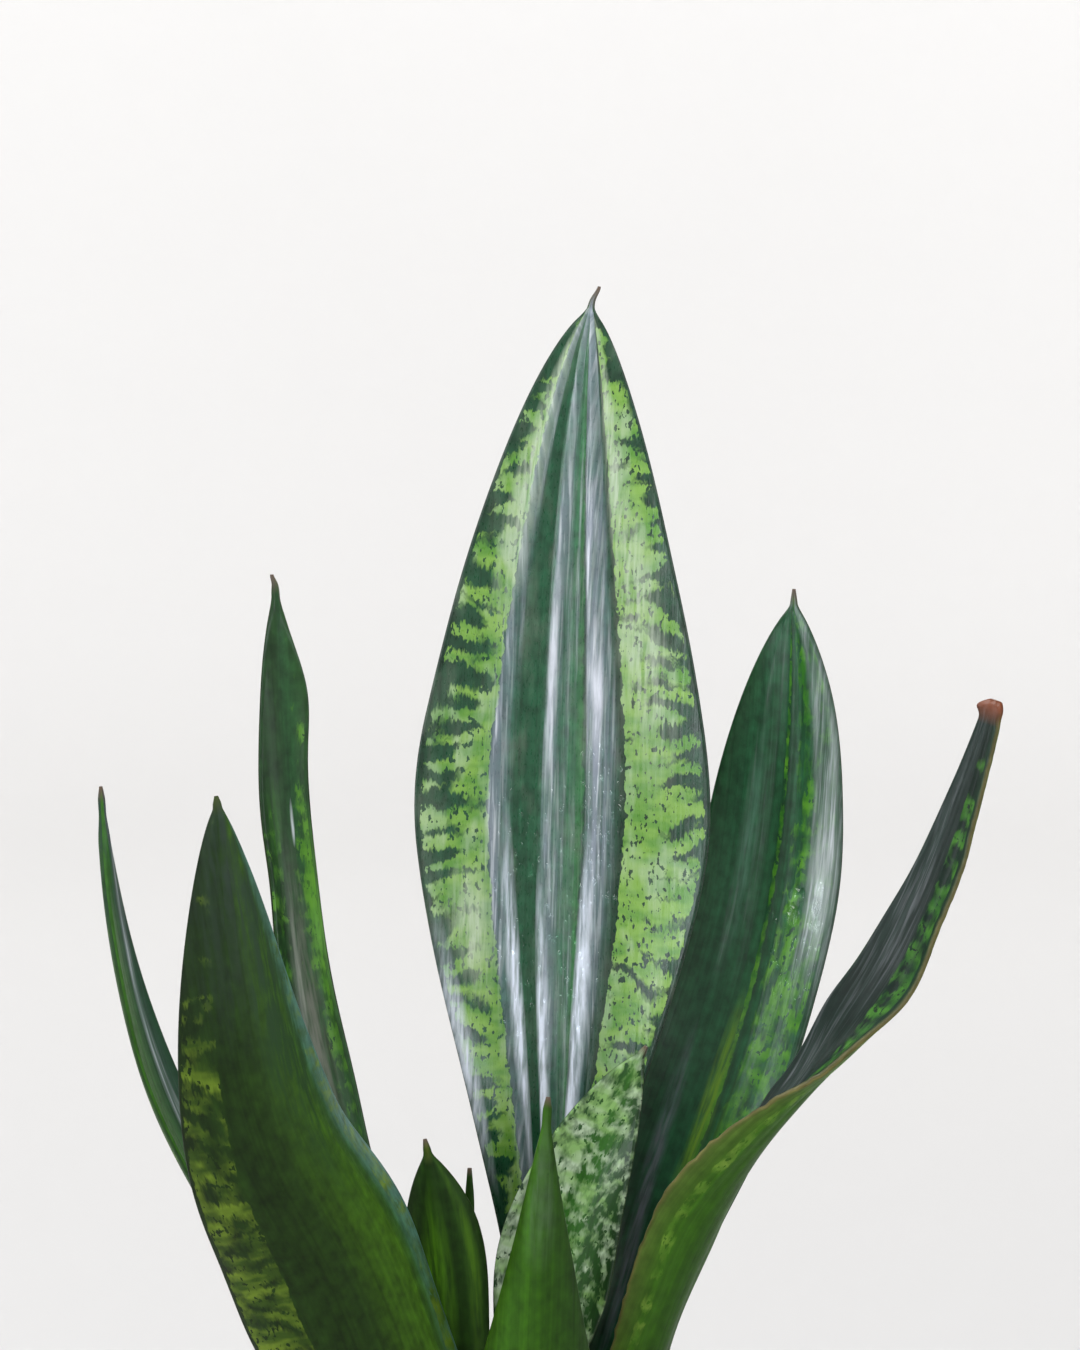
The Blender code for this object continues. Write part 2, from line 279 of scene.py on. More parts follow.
world = bpy.data.worlds.new("studio_air")
bpy.context.scene.world = world
world.use_nodes = True
feed(world.node_tree, world.node_tree.nodes["Background"], {"Color": linear("F1F2F4"), "Strength": 0.06})
bpy.context.scene.view_settings.view_transform = "Standard"
print("lamps:", ", ".join(LAMPS))

# %% [markdown]
# ## The shape of a leaf
#
# A snake plant's leaf is a thick, stiff blade. It leaves the ground rolled up like a gutter, opens
# towards its widest place and closes again to a hard spine at the point. So a leaf is described by a
# midrib, the way that its channel faces, its width along its length, and how far it is rolled.
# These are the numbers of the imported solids, so that every blade lies where its solid does.
#
# New here are the ridges that run the length of a blade, the slow wave of its margins, a torn margin,
# bent spines, and a longer, sharper point on the spike.

# %% What describes a leaf
LEAF_FOOT = 106.5  # mm above the floor, where every leaf starts
THICKNESS = 3.0  # mm, along the middle of a leaf
MARGIN_SHARE = 0.35  # thickness near the edge, as a share of the middle
MARGIN_ROUND = 0.6  # mm, how far in the round edge begins
SPINE_HALF_WIDTH = 1.0
SPINE_END_SHARE = 0.4
WIDTH_BLEND = 0.04  # share of the length over which a width is averaged


class Leaf(NamedTuple):
    """Lengths are in millimetres, angles in degrees, and shares are of the leaf's own length."""

    midrib: tuple  # root, two handles and tip of a Bezier curve
    facing: tuple  # (share, bearing of the channel): 0 faces the front, 90 faces +X
    half_width: float
    foot: float
    waist: float
    belly: float
    shoulder: float
    point: float
    fold: tuple
    spine: float
    end: float = 0
    ridges: tuple = ()  # (place across from -1 to 1, half width in the same unit, height)
    wave: tuple = (0.4, 55)  # height and length of the wave along the margins
    nudges: tuple = ()  # (side, share, spread, mm): where a margin stands out or is drawn in
    pinches: tuple = ()  # (share, spread, how much of the width is missing there)
    torn: float = 0  # mm that the +1 margin is ragged
    claw: tuple = (0, 0)  # mm that the spine's end is bent, along X and Y
    columns: int = 56
    rows: int = 150


# %% [markdown]
# The three leaves at the back and on the right stand tallest, three more lean to the left, and four
# short ones fill the middle.

# %% The ten leaves
LEAVES = {
    "leaf_tall_back": Leaf(
        midrib=((5, 18, 100), (11, 14, 238), (9, 34, 381), (19, 38, 449)),
        facing=((0, 0), (1, -4)),
        half_width=39.6, foot=12, waist=0.24, belly=0.64, shoulder=1.15, point=0.68,
        fold=(78, 22, 16), spine=6, columns=84, rows=180,
        ridges=((-0.46, 0.05, 0.8), (-0.1, 0.045, 0.8), (0.24, 0.06, 0.9)),
        nudges=((-1, 0.36, 0.1, 2.6), (1, 0.5, 0.12, 1.0)), claw=(1.4, 0),
    ),
    "leaf_right": Leaf(
        midrib=((12, 20, 100), (34, 24, 236), (72, 46, 230), (72, 44, 370)),
        facing=((0, -32), (0.4, -8), (1, -28)),
        half_width=20, foot=13, waist=0.1, belly=0.74, shoulder=2.1, point=0.78,
        fold=(60, 28, 20), spine=4, columns=64,
        ridges=((-0.35, 0.12, 0.25), (0.1, 0.05, 0.35), (0.45, 0.1, 0.3)),
        nudges=((-1, 0.46, 0.14, 4),), pinches=((0.3, 0.12, 0.22),),
    ),
    "leaf_twisted_right": Leaf(
        midrib=((17, -2, 100), (47, 2, 282), (83, -2, 204), (117, -14, 346)),
        facing=((0, -138), (0.4, -129), (0.57, -102), (0.75, -38)),
        half_width=17, foot=14, end=2.6, waist=0.1, belly=0.46, shoulder=1, point=1,
        fold=(50, 62, 40), spine=0, rows=180,
        ridges=((-0.3, 0.1, 0.25), (0.35, 0.1, 0.3)), wave=(0.9, 34), torn=0.7,
        nudges=((-1, 0.992, 0.006, 1.6), (1, 0.62, 0.07, -4)), pinches=((0.28, 0.12, 0.18),),
    ),
    "leaf_front_left": Leaf(
        midrib=((-14, -16, 100), (-51, -33, 278), (-56, -61, 188), (-70, -58, 328)),
        facing=((0, 170), (0.45, 207)),
        half_width=30, foot=15, waist=0, belly=0.48, shoulder=1.05, point=0.72,
        fold=(60, 60, 28), spine=2, columns=72,
        ridges=((0.05, 0.05, -0.4), (-0.45, 0.12, -0.3), (0.45, 0.1, -0.3)),
    ),
    "leaf_narrow_left": Leaf(
        midrib=((-20, 3, 100), (-39, 8, 231), (-62, 31, 224), (-63, 22, 375)),
        facing=((0, 60), (0.5, 15)),
        half_width=8.8, foot=9.5, waist=0.3, belly=0.7, shoulder=2, point=0.8,
        fold=(50, 70, 20), spine=4, columns=44, claw=(-0.8, 0),
        nudges=((-1, 0.72, 0.04, -1.2), (1, 0.89, 0.05, 2.4), (1, 0.72, 0.09, -2)),
    ),
    "leaf_far_left": Leaf(
        midrib=((-28, 6, 100), (-48, 2, 216), (-99, -6, 198), (-104, -8, 324)),
        facing=((0, 70),),
        half_width=9, foot=12, waist=0.1, belly=0.6, shoulder=1.3, point=0.8,
        fold=(38, 42, 30), spine=3, columns=44,
    ),
    "leaf_small_inner": Leaf(
        midrib=((-12, -9, 100), (-17, -6, 169), (-19, -4, 210), (-24, -4, 234)),
        facing=((0, 175),),
        half_width=12.5, foot=9, waist=0.35, belly=0.75, shoulder=2, point=0.95,
        fold=(75, 60, 30), spine=3, columns=48, rows=90, ridges=((0, 0.12, -0.4),),
    ),
    "leaf_inner_spike": Leaf(
        midrib=((-11, -5, 100), (-12, 2, 150), (-13, 5, 190), (-13, 6, 224)),
        facing=((0, 175),),
        half_width=4.5, foot=4, waist=0.3, belly=0.5, shoulder=1.2, point=0.9,
        fold=(70, 65, 60), spine=8, columns=32, rows=80, wave=(0, 50),  # the solid's spine is 4 mm
    ),
    "leaf_front_spear": Leaf(
        midrib=((1, -29, 100), (5, -31, 181), (5, -33, 224), (7, -31, 251)),
        facing=((0, 180),),
        half_width=22.5, foot=6.5, waist=0.08, belly=0.45, shoulder=0.7, point=0.95,
        fold=(75, 50, 40), spine=3, columns=52, rows=100, ridges=((0.02, 0.1, -0.4),),
    ),
    "leaf_young_mottled": Leaf(
        midrib=((5, 13, 100), (1, 2, 160), (2, 0, 206), (32, 4, 256)),
        facing=((0, -10),),
        half_width=17, foot=6, waist=0.28, belly=0.64, shoulder=1.45, point=0.76,
        fold=(75, 46, 25), spine=2, columns=52, rows=100,
        nudges=((-1, 0.55, 0.12, -0.8),),
    ),
}
print(len(LEAVES), "leaves")

# %% [markdown]
# Along the leaf, every measure eases from one value to the next, because a blade has no kinks.
# The widening is an ease too, and the taper is a power curve that can end blunt or drawn out.

# %% Width, roll and midrib
def ease(value):
    value = min(max(value, 0), 1)
    return value * value * (3 - 2 * value)


def eased_stops(stops, share):
    """A value that eases from each (share, value) stop to the next."""
    value = stops[0][1]
    for (low, before), (high, after) in zip(stops, stops[1:]):
        value += (after - before) * ease((share - low) / (high - low))
    return value


def plain_half_width(leaf, share, length):
    """Half the width along the section: foot, widening, belly, taper and spine."""
    spine_share = leaf.spine / length
    blade = min(share / (1 - spine_share), 1)
    if blade < leaf.belly:
        rise = ease((blade - leaf.waist) / (leaf.belly - leaf.waist))
        width = leaf.foot + (leaf.half_width - leaf.foot) * rise
    else:
        gone = (blade - leaf.belly) / (1 - leaf.belly)
        width = leaf.end + (leaf.half_width - leaf.end) * (1 - gone**leaf.shoulder) ** leaf.point
    worn = max(share - (1 - spine_share), 0) / max(spine_share, 1e-6)
    if leaf.end:  # a blunt end is rounded off
        width *= math.sqrt(max(1 - max(1 - (1 - share) * length / leaf.end, 0) ** 2, 0.02))
    return max(width, SPINE_HALF_WIDTH * (1 - (1 - SPINE_END_SHARE) * min(worn, 1)))


def half_width(leaf, share, length):
    """That width, averaged over a short stretch, so that the widest place is a round one."""
    reach = WIDTH_BLEND * min(1, (1 - share) / 0.2)
    width = sum(plain_half_width(leaf, share + reach * step / 2, length) for step in (-2, -1, 0, 1, 2)) / 5
    missing = sum(loss * math.exp(-((share - at) / spread) ** 2) for at, spread, loss in leaf.pinches)
    return width * (1 - missing)


def bezier(points, t):
    a, b, c, d = points
    s = 1 - t
    return a * s**3 + b * 3 * s * s * t + c * 3 * s * t * t + d * t**3


def bezier_direction(points, t):
    a, b, c, d = points
    s = 1 - t
    return ((b - a) * s * s + (c - b) * 2 * s * t + (d - c) * t * t).normalized()


class Section(NamedTuple):
    """The leaf's cross section at one place along it."""

    share: float
    length: float  # mm of the whole leaf
    travel: float  # mm from the foot
    place: Vector
    along: Vector
    side: Vector
    channel: Vector
    half: float
    roll: float


def sections(leaf, count, crowding=1.5, samples=400):
    """Cross sections from the foot to the point, closer together towards the point."""
    points = [Vector(p) for p in leaf.midrib]
    curve = [bezier(points, i / samples) for i in range(samples + 1)]
    steps = [(b - a).length for a, b in zip(curve, curve[1:])]
    travel = np.concatenate(([0], np.cumsum(steps)))
    length = float(travel[-1])
    foot = float(np.interp(LEAF_FOOT, [p.z for p in curve[:samples // 3]], travel[:samples // 3])) / length
    found = []
    for i in range(count + 1):
        share = foot + (1 - foot) * (1 - (1 - i / count) ** crowding)
        t = float(np.interp(share * length, travel, np.linspace(0, 1, samples + 1)))
        along = bezier_direction(points, t)
        bearing = math.radians(eased_stops(leaf.facing, share))
        channel = Vector((math.sin(bearing), -math.cos(bearing), 0))
        channel = (channel - along * channel.dot(along)).normalized()
        folds = ((0, leaf.fold[0]), (leaf.belly, leaf.fold[1]), (1, leaf.fold[2]))
        roll = math.radians(eased_stops(folds, share))
        found.append(Section(share, length, (share - foot) * length, bezier(points, t), along,
                             along.cross(channel), channel, half_width(leaf, share, length), roll))
    return found


# %% [markdown]
# ## From a flat grid to a blade
#
# A blade could be sculpted or lofted. Here it is a flat grid, as wide as it has columns, that is laid
# along the midrib and bent across the channel, because then its rows and columns stay in order and
# carry the leaf's own measures: how far across and how far along each point is. The bands and streaks
# of the skin are drawn in those measures, so they follow the blade wherever it turns.
#
# Columns crowd towards the margins. Solidify gives the wall, full along the middle, thin near the
# edge, and round at the very edge, because its thickness follows a vertex group.

# %% Ridges, margins and wall
TEAR_FINE = 2.6  # mm, size of the small bites out of a torn margin
TEAR_COARSE = 9


def relief(leaf, across, section):
    """Height of the ridges and of the margins' wave above the plain arc, in mm."""
    fade = ease(section.share / 0.3) * ease((1 - section.share) / 0.12)
    height = sum(h * math.exp(-((across - at) / width) ** 2) for at, width, h in leaf.ridges) * fade
    swing, length = leaf.wave
    phase = section.travel / length * 2 * math.pi
    return height + swing * fade * across**2 * math.sin(phase + 1.3 * across) * section.half / leaf.half_width


def margin_shift(leaf, across, section):
    """How far a point moves outwards along the section, in mm. The middle stays put."""
    shift = sum(mm * math.exp(-((section.share - at) / spread) ** 2) * max(side * across, 0) ** 2 * side
                for side, at, spread, mm in leaf.nudges)
    small = noise.noise(Vector((section.travel / TEAR_FINE, 0, 7)))
    large = noise.noise(Vector((section.travel / TEAR_COARSE, 0, 3)))
    return shift + leaf.torn * (small + 0.6 * large) * max(across, 0) ** 6


def wall_share(across, half):
    """Thickness as a share of the middle's, with a round edge."""
    body = MARGIN_SHARE + (1 - MARGIN_SHARE) * (1 - across**2)
    inside = min((1 - abs(across)) * half / MARGIN_ROUND, 1)
    edge = math.sqrt(max(1 - (1 - inside) ** 2, 0))
    return min(body * edge, 1.3 * half / THICKNESS)


# %% The blade
def on_arc(leaf, section, across):
    """A point on the section's arc, in mm, and the way from it into the channel."""
    angle = section.roll * across
    radius = section.half / section.roll
    inwards = section.channel * math.cos(angle) - section.side * math.sin(angle)
    outwards = section.side * math.cos(angle) + section.channel * math.sin(angle)
    point = section.place + section.side * radius * math.sin(angle)
    point = point + section.channel * radius * (1 - math.cos(angle))
    return point + outwards * margin_shift(leaf, across, section), inwards


def make_blade(name, leaf):
    deselect_all()
    bpy.ops.mesh.primitive_grid_add(x_subdivisions=leaf.columns, y_subdivisions=leaf.rows, size=2)
    blade = bpy.context.object
    blade.name = name
    blade.data.name = name
    mesh = blade.data
    rows = sections(leaf, leaf.rows)
    wall = blade.vertex_groups.new(name="wall")
    points, surface, shares = [], [], []
    for vert in mesh.vertices:
        row = rows[round((vert.co.y + 1) / 2 * leaf.rows)]
        across = math.sin(vert.co.x * math.pi / 2)
        point, normal = on_arc(leaf, row, across)
        bend = ease((row.share - 1) * row.length / max(leaf.spine, 1) + 1) ** 2
        point = point + Vector((leaf.claw[0], leaf.claw[1], 0)) * bend
        points.extend((point + normal * relief(leaf, across, row)) * MM)
        surface.extend((across * row.half, row.travel, 0))
        shares.extend(((across + 1) / 2, row.share, 0))
        wall.add([vert.index], wall_share(across, row.half), "REPLACE")
    mesh.vertices.foreach_set("co", points)
    for layer, values in (("surface_mm", surface), ("leaf_shares", shares)):
        mesh.attributes.new(layer, "FLOAT_VECTOR", "POINT").data.foreach_set("vector", values)
    mesh.update()
    return blade


def thicken(blade):
    solid = blade.modifiers.new("Wall", "SOLIDIFY")
    solid.thickness = THICKNESS * MM
    solid.offset = 0
    solid.vertex_group = "wall"
    solid.thickness_vertex_group = 0.04
    solid.material_offset = 1
    solid.material_offset_rim = 0
    apply_modifiers(blade)
    blade.vertex_groups.clear()
    bpy.ops.object.shade_smooth_by_angle(angle=math.radians(60))


# %% [markdown]
# ## The skin of a leaf
#
# Under its clear wax a leaf is deep green, with pale, yellow-green margins that dark cross bands break
# up. The bands are ragged, because the pigment follows rows of cells that run along the blade.
# Silvery streaks are partly wax, thicker on the ridges, and partly painted reflections of the lamps.
#
# One builder makes every skin, from what differs: the colours from margin to margin, where it turns
# pale, how close the bands are, and how much wax bloom and painted sheen lies on it. A pattern is
# noise in the blade's own millimetres, stretched along cells and squeezed along bands, and cut sharp
# by Map Range.

# %% What describes a skin
class Skin(NamedTuple):
    """Places across run from -1 to 1, and shares along from 0 to 1."""

    # (place across, colour of the dark skin)
    ground: tuple = ((-1, "1B3A26"), (-0.5, "1F4A2C"), (0.5, "1F4A2C"), (1, "1B3A26"))
    pale: tuple = ((-1, 0), (1, 0))  # (place across, how much of the pale pattern shows)
    bloom: tuple = ((-1, 0), (1, 0))  # (place across, how much wax and painted sheen shows)
    along: tuple = ((0, 0.5), (1, 0.5))  # (share, how much of the pattern is pale)
    wax_and_sheen_along: tuple = ((0, 1), (1, 1))  # (share, how much of that wax and painted sheen shows there)
    light: str = "A6C465"  # pale skin where it is brightest
    mid: str = "7FA649"  # and where it is dullest
    wax_and_sheen: str = "87918F"  # the wax on the ridges, with its painted sheen of light
    film_and_sheen: float = 0  # how much of a whitish film, part wax and part painted sheen, lies on it in patches
    mottle: float = 0.2  # how far patches of a few mm are darker or lighter
    band: tuple = (13, 5.5)  # mm across and along
    beat: float = 5.6  # mm from one band to the next
    regular: float = 0.07  # how much the bands keep to that beat
    jag: float = 0.9  # mm that the bands are torn along the cells
    fleck: float = 0.6  # above this level of noise, pale skin has a dark fleck
    soft: float = 0.03  # how softly pale turns dark
    ragged: float = 0.006  # how far the borders of the colours along the blade wander
    touches: tuple = ()  # marks, painted highlights and shade: (across, share, half width, half length, colour, strength)
    tip: tuple = (0.99, "5E5044")  # share where the point begins, and its colour
    gloss: float = 0.34  # roughness: more is duller
    coat: float = 0.1  # how much clear wax lies over all
    shine: float = 0.4  # how strongly the skin itself mirrors
    seed: float = 0  # moves the noise, so that no two faces match


# %% [markdown]
# A blade carries two measures: millimetres across and along it, and shares of its width and length.
# Noise is read in the millimetres, so a cell or a band has its real size. Ramps are read in the
# shares, so a margin stays a margin where the blade is narrow.

# %% Measures and grain
class Maps(NamedTuple):
    """The measures that a blade carries, as sockets of its material."""

    surface: object  # mm
    shares: object
    across: object  # share, from 0 to 1
    along: object


def read_maps(tree):
    surface = add(tree, "Attribute", attribute_name="surface_mm").outputs["Vector"]
    shares = add(tree, "Attribute", attribute_name="leaf_shares").outputs["Vector"]
    parts = add(tree, "SeparateXYZ", {"Vector": shares}).outputs
    return Maps(surface, shares, parts["X"], parts["Y"])


def grain(tree, skin, source, size, detail=2.0):
    """Noise whose features have that size on the leaf, across and along it in mm."""
    across_mm, along_mm = size
    place = (skin.seed, 2 * skin.seed, skin.seed)
    scale = (1 / across_mm, 1 / along_mm, 1)
    scaled = add(tree, "Mapping", {"Vector": source, "Scale": scale, "Location": place})
    return add(tree, "TexNoise", {"Vector": scaled, "Scale": 1.0, "Detail": detail})


def swing(pattern, bottom, top):
    """What a Map Range needs to turn noise, nearly all of which is 0.3 to 0.7, into bottom to top."""
    return span(pattern, 0.3, 0.7, bottom, top)


def from_middle(stops):
    """Stops at places from -1 to 1 across a blade, as a Color Ramp takes them, from 0 to 1."""
    return [((place + 1) / 2, value) for place, value in stops]


# %% [markdown]
# Bands are noise that is wide across and short along, with a soft beat in it. It is torn by noise that
# follows the cells, and swayed by slower noise. Two ramps say how much should be pale at each place.
# Where the bands and those two pass a level together, the skin is pale.

# %% Bands and flecks
TEETH = (0.7, 3.5)  # mm across and along: the torn ends of bands
SWAY = (17, 23)  # slow bends of the bands
SWAY_REACH = 3.0  # mm that they bend
FLECKS = (1.1, 2.0)
FLECK_EDGE = 0.03
PALE_LEVEL = 0.5


def pale_pattern(tree, skin, maps, ragged):
    """How pale each point is, from 0 to 1."""
    tear = add(tree, "MapRange", swing(grain(tree, skin, maps.surface, TEETH, 3), -skin.jag, skin.jag))
    sway = add(tree, "MapRange", swing(grain(tree, skin, maps.surface, SWAY, 0), -SWAY_REACH, SWAY_REACH))
    shift = add(tree, "CombineXYZ", {"Y": add(tree, "Math", {0: tear, 1: sway}, operation="ADD")})
    torn = add(tree, "VectorMath", {0: maps.surface, 1: shift}, operation="ADD")
    torn_along = add(tree, "SeparateXYZ", {"Vector": torn}).outputs["Y"]
    turns = add(tree, "Math", {0: torn_along, 1: 2 * math.pi / skin.beat}, operation="MULTIPLY")
    beat = add(tree, "Math", {0: turns}, operation="SINE")
    beat = add(tree, "Math", {0: beat, 1: skin.regular}, operation="MULTIPLY")
    patches = grain(tree, skin, torn, skin.band, 2.5)
    bands = add(tree, "Math", {0: patches, 1: beat}, operation="ADD")
    here_along = fill_ramp(add(tree, "ValToRGB", {"Fac": maps.along}), skin.along)
    here_across = fill_ramp(add(tree, "ValToRGB", {"Fac": ragged}), from_middle(skin.pale))
    cover = add(tree, "Math", {0: here_along, 1: here_across}, operation="ADD")
    cover = add(tree, "Math", {0: cover, 1: 1 + PALE_LEVEL}, operation="SUBTRACT")
    level = add(tree, "Math", {0: bands, 1: cover}, operation="ADD")
    pale = add(tree, "MapRange", span(level, PALE_LEVEL - skin.soft, PALE_LEVEL + skin.soft))
    fleck = grain(tree, skin, maps.surface, FLECKS)
    clear = add(tree, "MapRange", span(fleck, skin.fleck, skin.fleck + FLECK_EDGE, 1.0, 0.0))
    return add(tree, "Math", {0: pale, 1: clear}, operation="MULTIPLY")


# %% [markdown]
# The colour is built up as on the leaf. First comes the green ground, lighter and darker along its rays
# and in small mottles. The pale pattern lies over it, and over that a whitish film in patches, which is
# partly wax and partly painted sheen.

# %% Green, pale pattern, and film with painted sheen
MOTTLES = (2.4, 3.6)  # mm across and along
TINTS = (9, 4)  # duller and brighter patches of pale skin
CLOUDS = (6, 15)  # patches of the whitish film, part wax and part painted sheen
CLOUD_LINES = (0.9, 12)  # and the fine lines in it
FILM_AND_SHEEN_COLOUR = "BFCCB6"
FILM_AND_SHEEN_ON_GREEN = 0.2  # the film and its painted sheen are thin on green skin, but not gone


def green_layers(tree, skin, maps, rays, ragged, pale):
    shade = add(tree, "MapRange", swing(rays, 0.78, 1.22))
    mottles = grain(tree, skin, maps.surface, MOTTLES, 4)
    mottle = add(tree, "MapRange", swing(mottles, 1 - skin.mottle, 1 + skin.mottle))
    shading = add(tree, "Math", {0: shade, 1: mottle}, operation="MULTIPLY")
    ground = fill_ramp(add(tree, "ValToRGB", {"Fac": ragged}), from_middle(skin.ground))
    ground = add(tree, "Mix", {0: 1.0, 6: ground, 7: shading}, data_type="RGBA", blend_type="MULTIPLY")
    tint = add(tree, "MapRange", span(grain(tree, skin, maps.surface, TINTS), 0.38, 0.62))
    light = add(tree, "Mix", {0: tint, 6: linear(skin.mid), 7: linear(skin.light)}, data_type="RGBA")
    colour = add(tree, "Mix", {0: pale, 6: ground, 7: light}, data_type="RGBA")
    # Painted sheen: the whitish film is partly wax and partly a soft sheen of light painted into the colour.
    clouds = grain(tree, skin, maps.surface, CLOUDS)
    film_and_sheen = add(tree, "MapRange", span(clouds, 0.5, 0.66, 0.0, skin.film_and_sheen))
    lines = add(tree, "MapRange", swing(grain(tree, skin, maps.surface, CLOUD_LINES), 0.5, 1.0))
    film_and_sheen = add(tree, "Math", {0: film_and_sheen, 1: lines}, operation="MULTIPLY")
    reach = add(tree, "Math", {0: pale, 1: FILM_AND_SHEEN_ON_GREEN}, operation="MAXIMUM")
    film_and_sheen = add(tree, "Math", {0: film_and_sheen, 1: reach}, operation="MULTIPLY")
    return add(tree, "Mix", {0: film_and_sheen, 6: colour, 7: linear(FILM_AND_SHEEN_COLOUR)}, data_type="RGBA")


# %% [markdown]
# Wax on the ridges is silvery, and its streaks also carry painted reflections of the lamps. It lies in
# fine streaks that broad ones thin out, with brighter glints that are painted highlights.

# %% Wax and painted sheen
FINE_WAX_AND_SHEEN = (1.3, 45)  # mm across and along
BROAD_WAX_AND_SHEEN = (6, 34)
GLINTS = (0.6, 16)
GLINT_COLOUR = "DCE0E8"


def wax_and_sheen_layer(tree, skin, maps, colour):
    fine = add(tree, "MapRange", span(grain(tree, skin, maps.surface, FINE_WAX_AND_SHEEN), 0.36, 0.6, 0.3, 1.0))
    broad = add(tree, "MapRange", span(grain(tree, skin, maps.surface, BROAD_WAX_AND_SHEEN, 1), 0.33, 0.6, 0.4, 1.0))
    wax_and_sheen_cover = add(tree, "Math", {0: fine, 1: broad}, operation="MULTIPLY")
    for measure, stops in ((maps.across, from_middle(skin.bloom)), (maps.along, skin.wax_and_sheen_along)):
        lies_here = fill_ramp(add(tree, "ValToRGB", {"Fac": measure}), stops)
        wax_and_sheen_cover = add(tree, "Math", {0: wax_and_sheen_cover, 1: lies_here}, operation="MULTIPLY")
    # Painted highlights: the glints, and partly the silvery wax colour, stand in for reflections of the
    # lamps.
    glints = add(tree, "MapRange", span(grain(tree, skin, maps.surface, GLINTS, 3), 0.48, 0.66, 0.0, 0.9))
    wax_and_sheen = add(tree, "Mix", {0: glints, 6: linear(skin.wax_and_sheen), 7: linear(GLINT_COLOUR)}, data_type="RGBA")
    return add(tree, "Mix", {0: wax_and_sheen_cover, 6: colour, 7: wax_and_sheen}, data_type="RGBA")


# %% [markdown]
# Soft spots are single marks: a dull patch or a darker end of the leaf's own colour, or painted light,
# such as a streak of highlight, a patch of sheen or shade in a groove. Each fades from its middle and is
# broken up along the cells. Last come the brown point and the pale foot.

# %% Soft spots and painted light, point and foot
BREAKS = (0.9, 10)  # mm across and along: the streaks that break up a soft spot
POINT_EDGE = 0.008  # share of the length over which the point turns brown
FOOT_FADE = (0.02, 0.09)  # shares between which the foot's colour fades
FOOT_COLOUR = "8E8A5A"


def spots_and_painted_light_layers(tree, skin, maps, colour):
    breaks = grain(tree, skin, maps.surface, BREAKS, 4)
    broken = add(tree, "MapRange", span(breaks, 0.34, 0.64, 0.2, 1.0))
    # Painted light: many soft spots are painted highlights, painted sheen or painted shade.
    for across, share, wide, long, hue, strength in skin.touches:
        middle = ((across + 1) / 2, share, 0)
        offset = add(tree, "VectorMath", {0: maps.shares, 1: middle}, operation="SUBTRACT")
        stretched = add(tree, "VectorMath", {0: offset, 1: (2 / wide, 1 / long, 1)}, operation="MULTIPLY")
        distance = add(tree, "VectorMath", {0: stretched}, operation="LENGTH")
        spot = add(tree, "MapRange", span(distance, 0.2, 1.0, strength, 0.0))
        spot = add(tree, "Math", {0: spot, 1: broken}, operation="MULTIPLY")
        colour = add(tree, "Mix", {0: spot, 6: colour, 7: linear(hue)}, data_type="RGBA")
    at, brown = skin.tip
    point = add(tree, "MapRange", span(maps.along, at - POINT_EDGE, at + POINT_EDGE))
    colour = add(tree, "Mix", {0: point, 6: colour, 7: linear(brown)}, data_type="RGBA")
    foot = add(tree, "MapRange", span(maps.along, *FOOT_FADE, 0.75, 0.0))
    return add(tree, "Mix", {0: foot, 6: colour, 7: linear(FOOT_COLOUR)}, data_type="RGBA")


# %% [markdown]
# A waxy cuticle is smooth but not polished, so a lamp shows on it as a soft band along the blade.
# The relief is too fine for the mesh: rays of cells, and the grain of single cells.

# %% Build a skin
RAYS = (1.1, 90)  # mm across and along: rows of cells
BORDERS = (2, 3)  # how the borders between colours wander
CELLS = (0.3, 0.6)
SHEEN = (0.5, 1.5)  # duller and shinier cells
RELIEF_DEPTH = 0.16 * MM


def leaf_skin(name, skin):
    """Waxy leaf skin: soft gloss over patterned green, streaked and grained along the blade."""
    material, tree, shader = new_material(name)
    maps = read_maps(tree)
    rays = grain(tree, skin, maps.surface, RAYS, 3)
    borders = grain(tree, skin, maps.surface, BORDERS, 3)
    wander = add(tree, "MapRange", swing(borders, -skin.ragged, skin.ragged))
    ragged = add(tree, "Math", {0: maps.across, 1: wander}, operation="ADD")
    pale = pale_pattern(tree, skin, maps, ragged)
    colour = green_layers(tree, skin, maps, rays, ragged, pale)
    colour = wax_and_sheen_layer(tree, skin, maps, colour)
    colour = spots_and_painted_light_layers(tree, skin, maps, colour)

    ray_height = add(tree, "MapRange", span(rays, 0.2, 0.8, 0, 0.6))
    cell_height = add(tree, "MapRange", span(grain(tree, skin, maps.surface, CELLS, 1), 0.2, 0.8, 0, 0.12))
    height = add(tree, "Math", {0: ray_height, 1: cell_height}, operation="ADD")
    bump = add(tree, "Bump", {"Height": height, "Strength": 0.6, "Distance": RELIEF_DEPTH})
    sheen = grain(tree, skin, maps.surface, SHEEN)
    rough = add(tree, "MapRange", swing(sheen, skin.gloss - 0.05, skin.gloss + 0.08))
    feed(tree, shader, {
        "Base Color": colour, "Roughness": rough, "IOR": 1.45, "Specular IOR Level": skin.shine,
        "Coat Weight": skin.coat, "Coat Roughness": 0.16, "Normal": bump, "Coat Normal": bump,
    })
    return material


# %% [markdown]
# ## The skins of the ten leaves
#
# Each leaf has the skin of its inner face, inside the channel, and of its outer face. Outer faces are
# duller than inner ones and deeper green, partly their own colour and partly painted shade, since most
# face down and away from the overhead lamp. They have the same banded margins, so they share one
# description and change what differs.

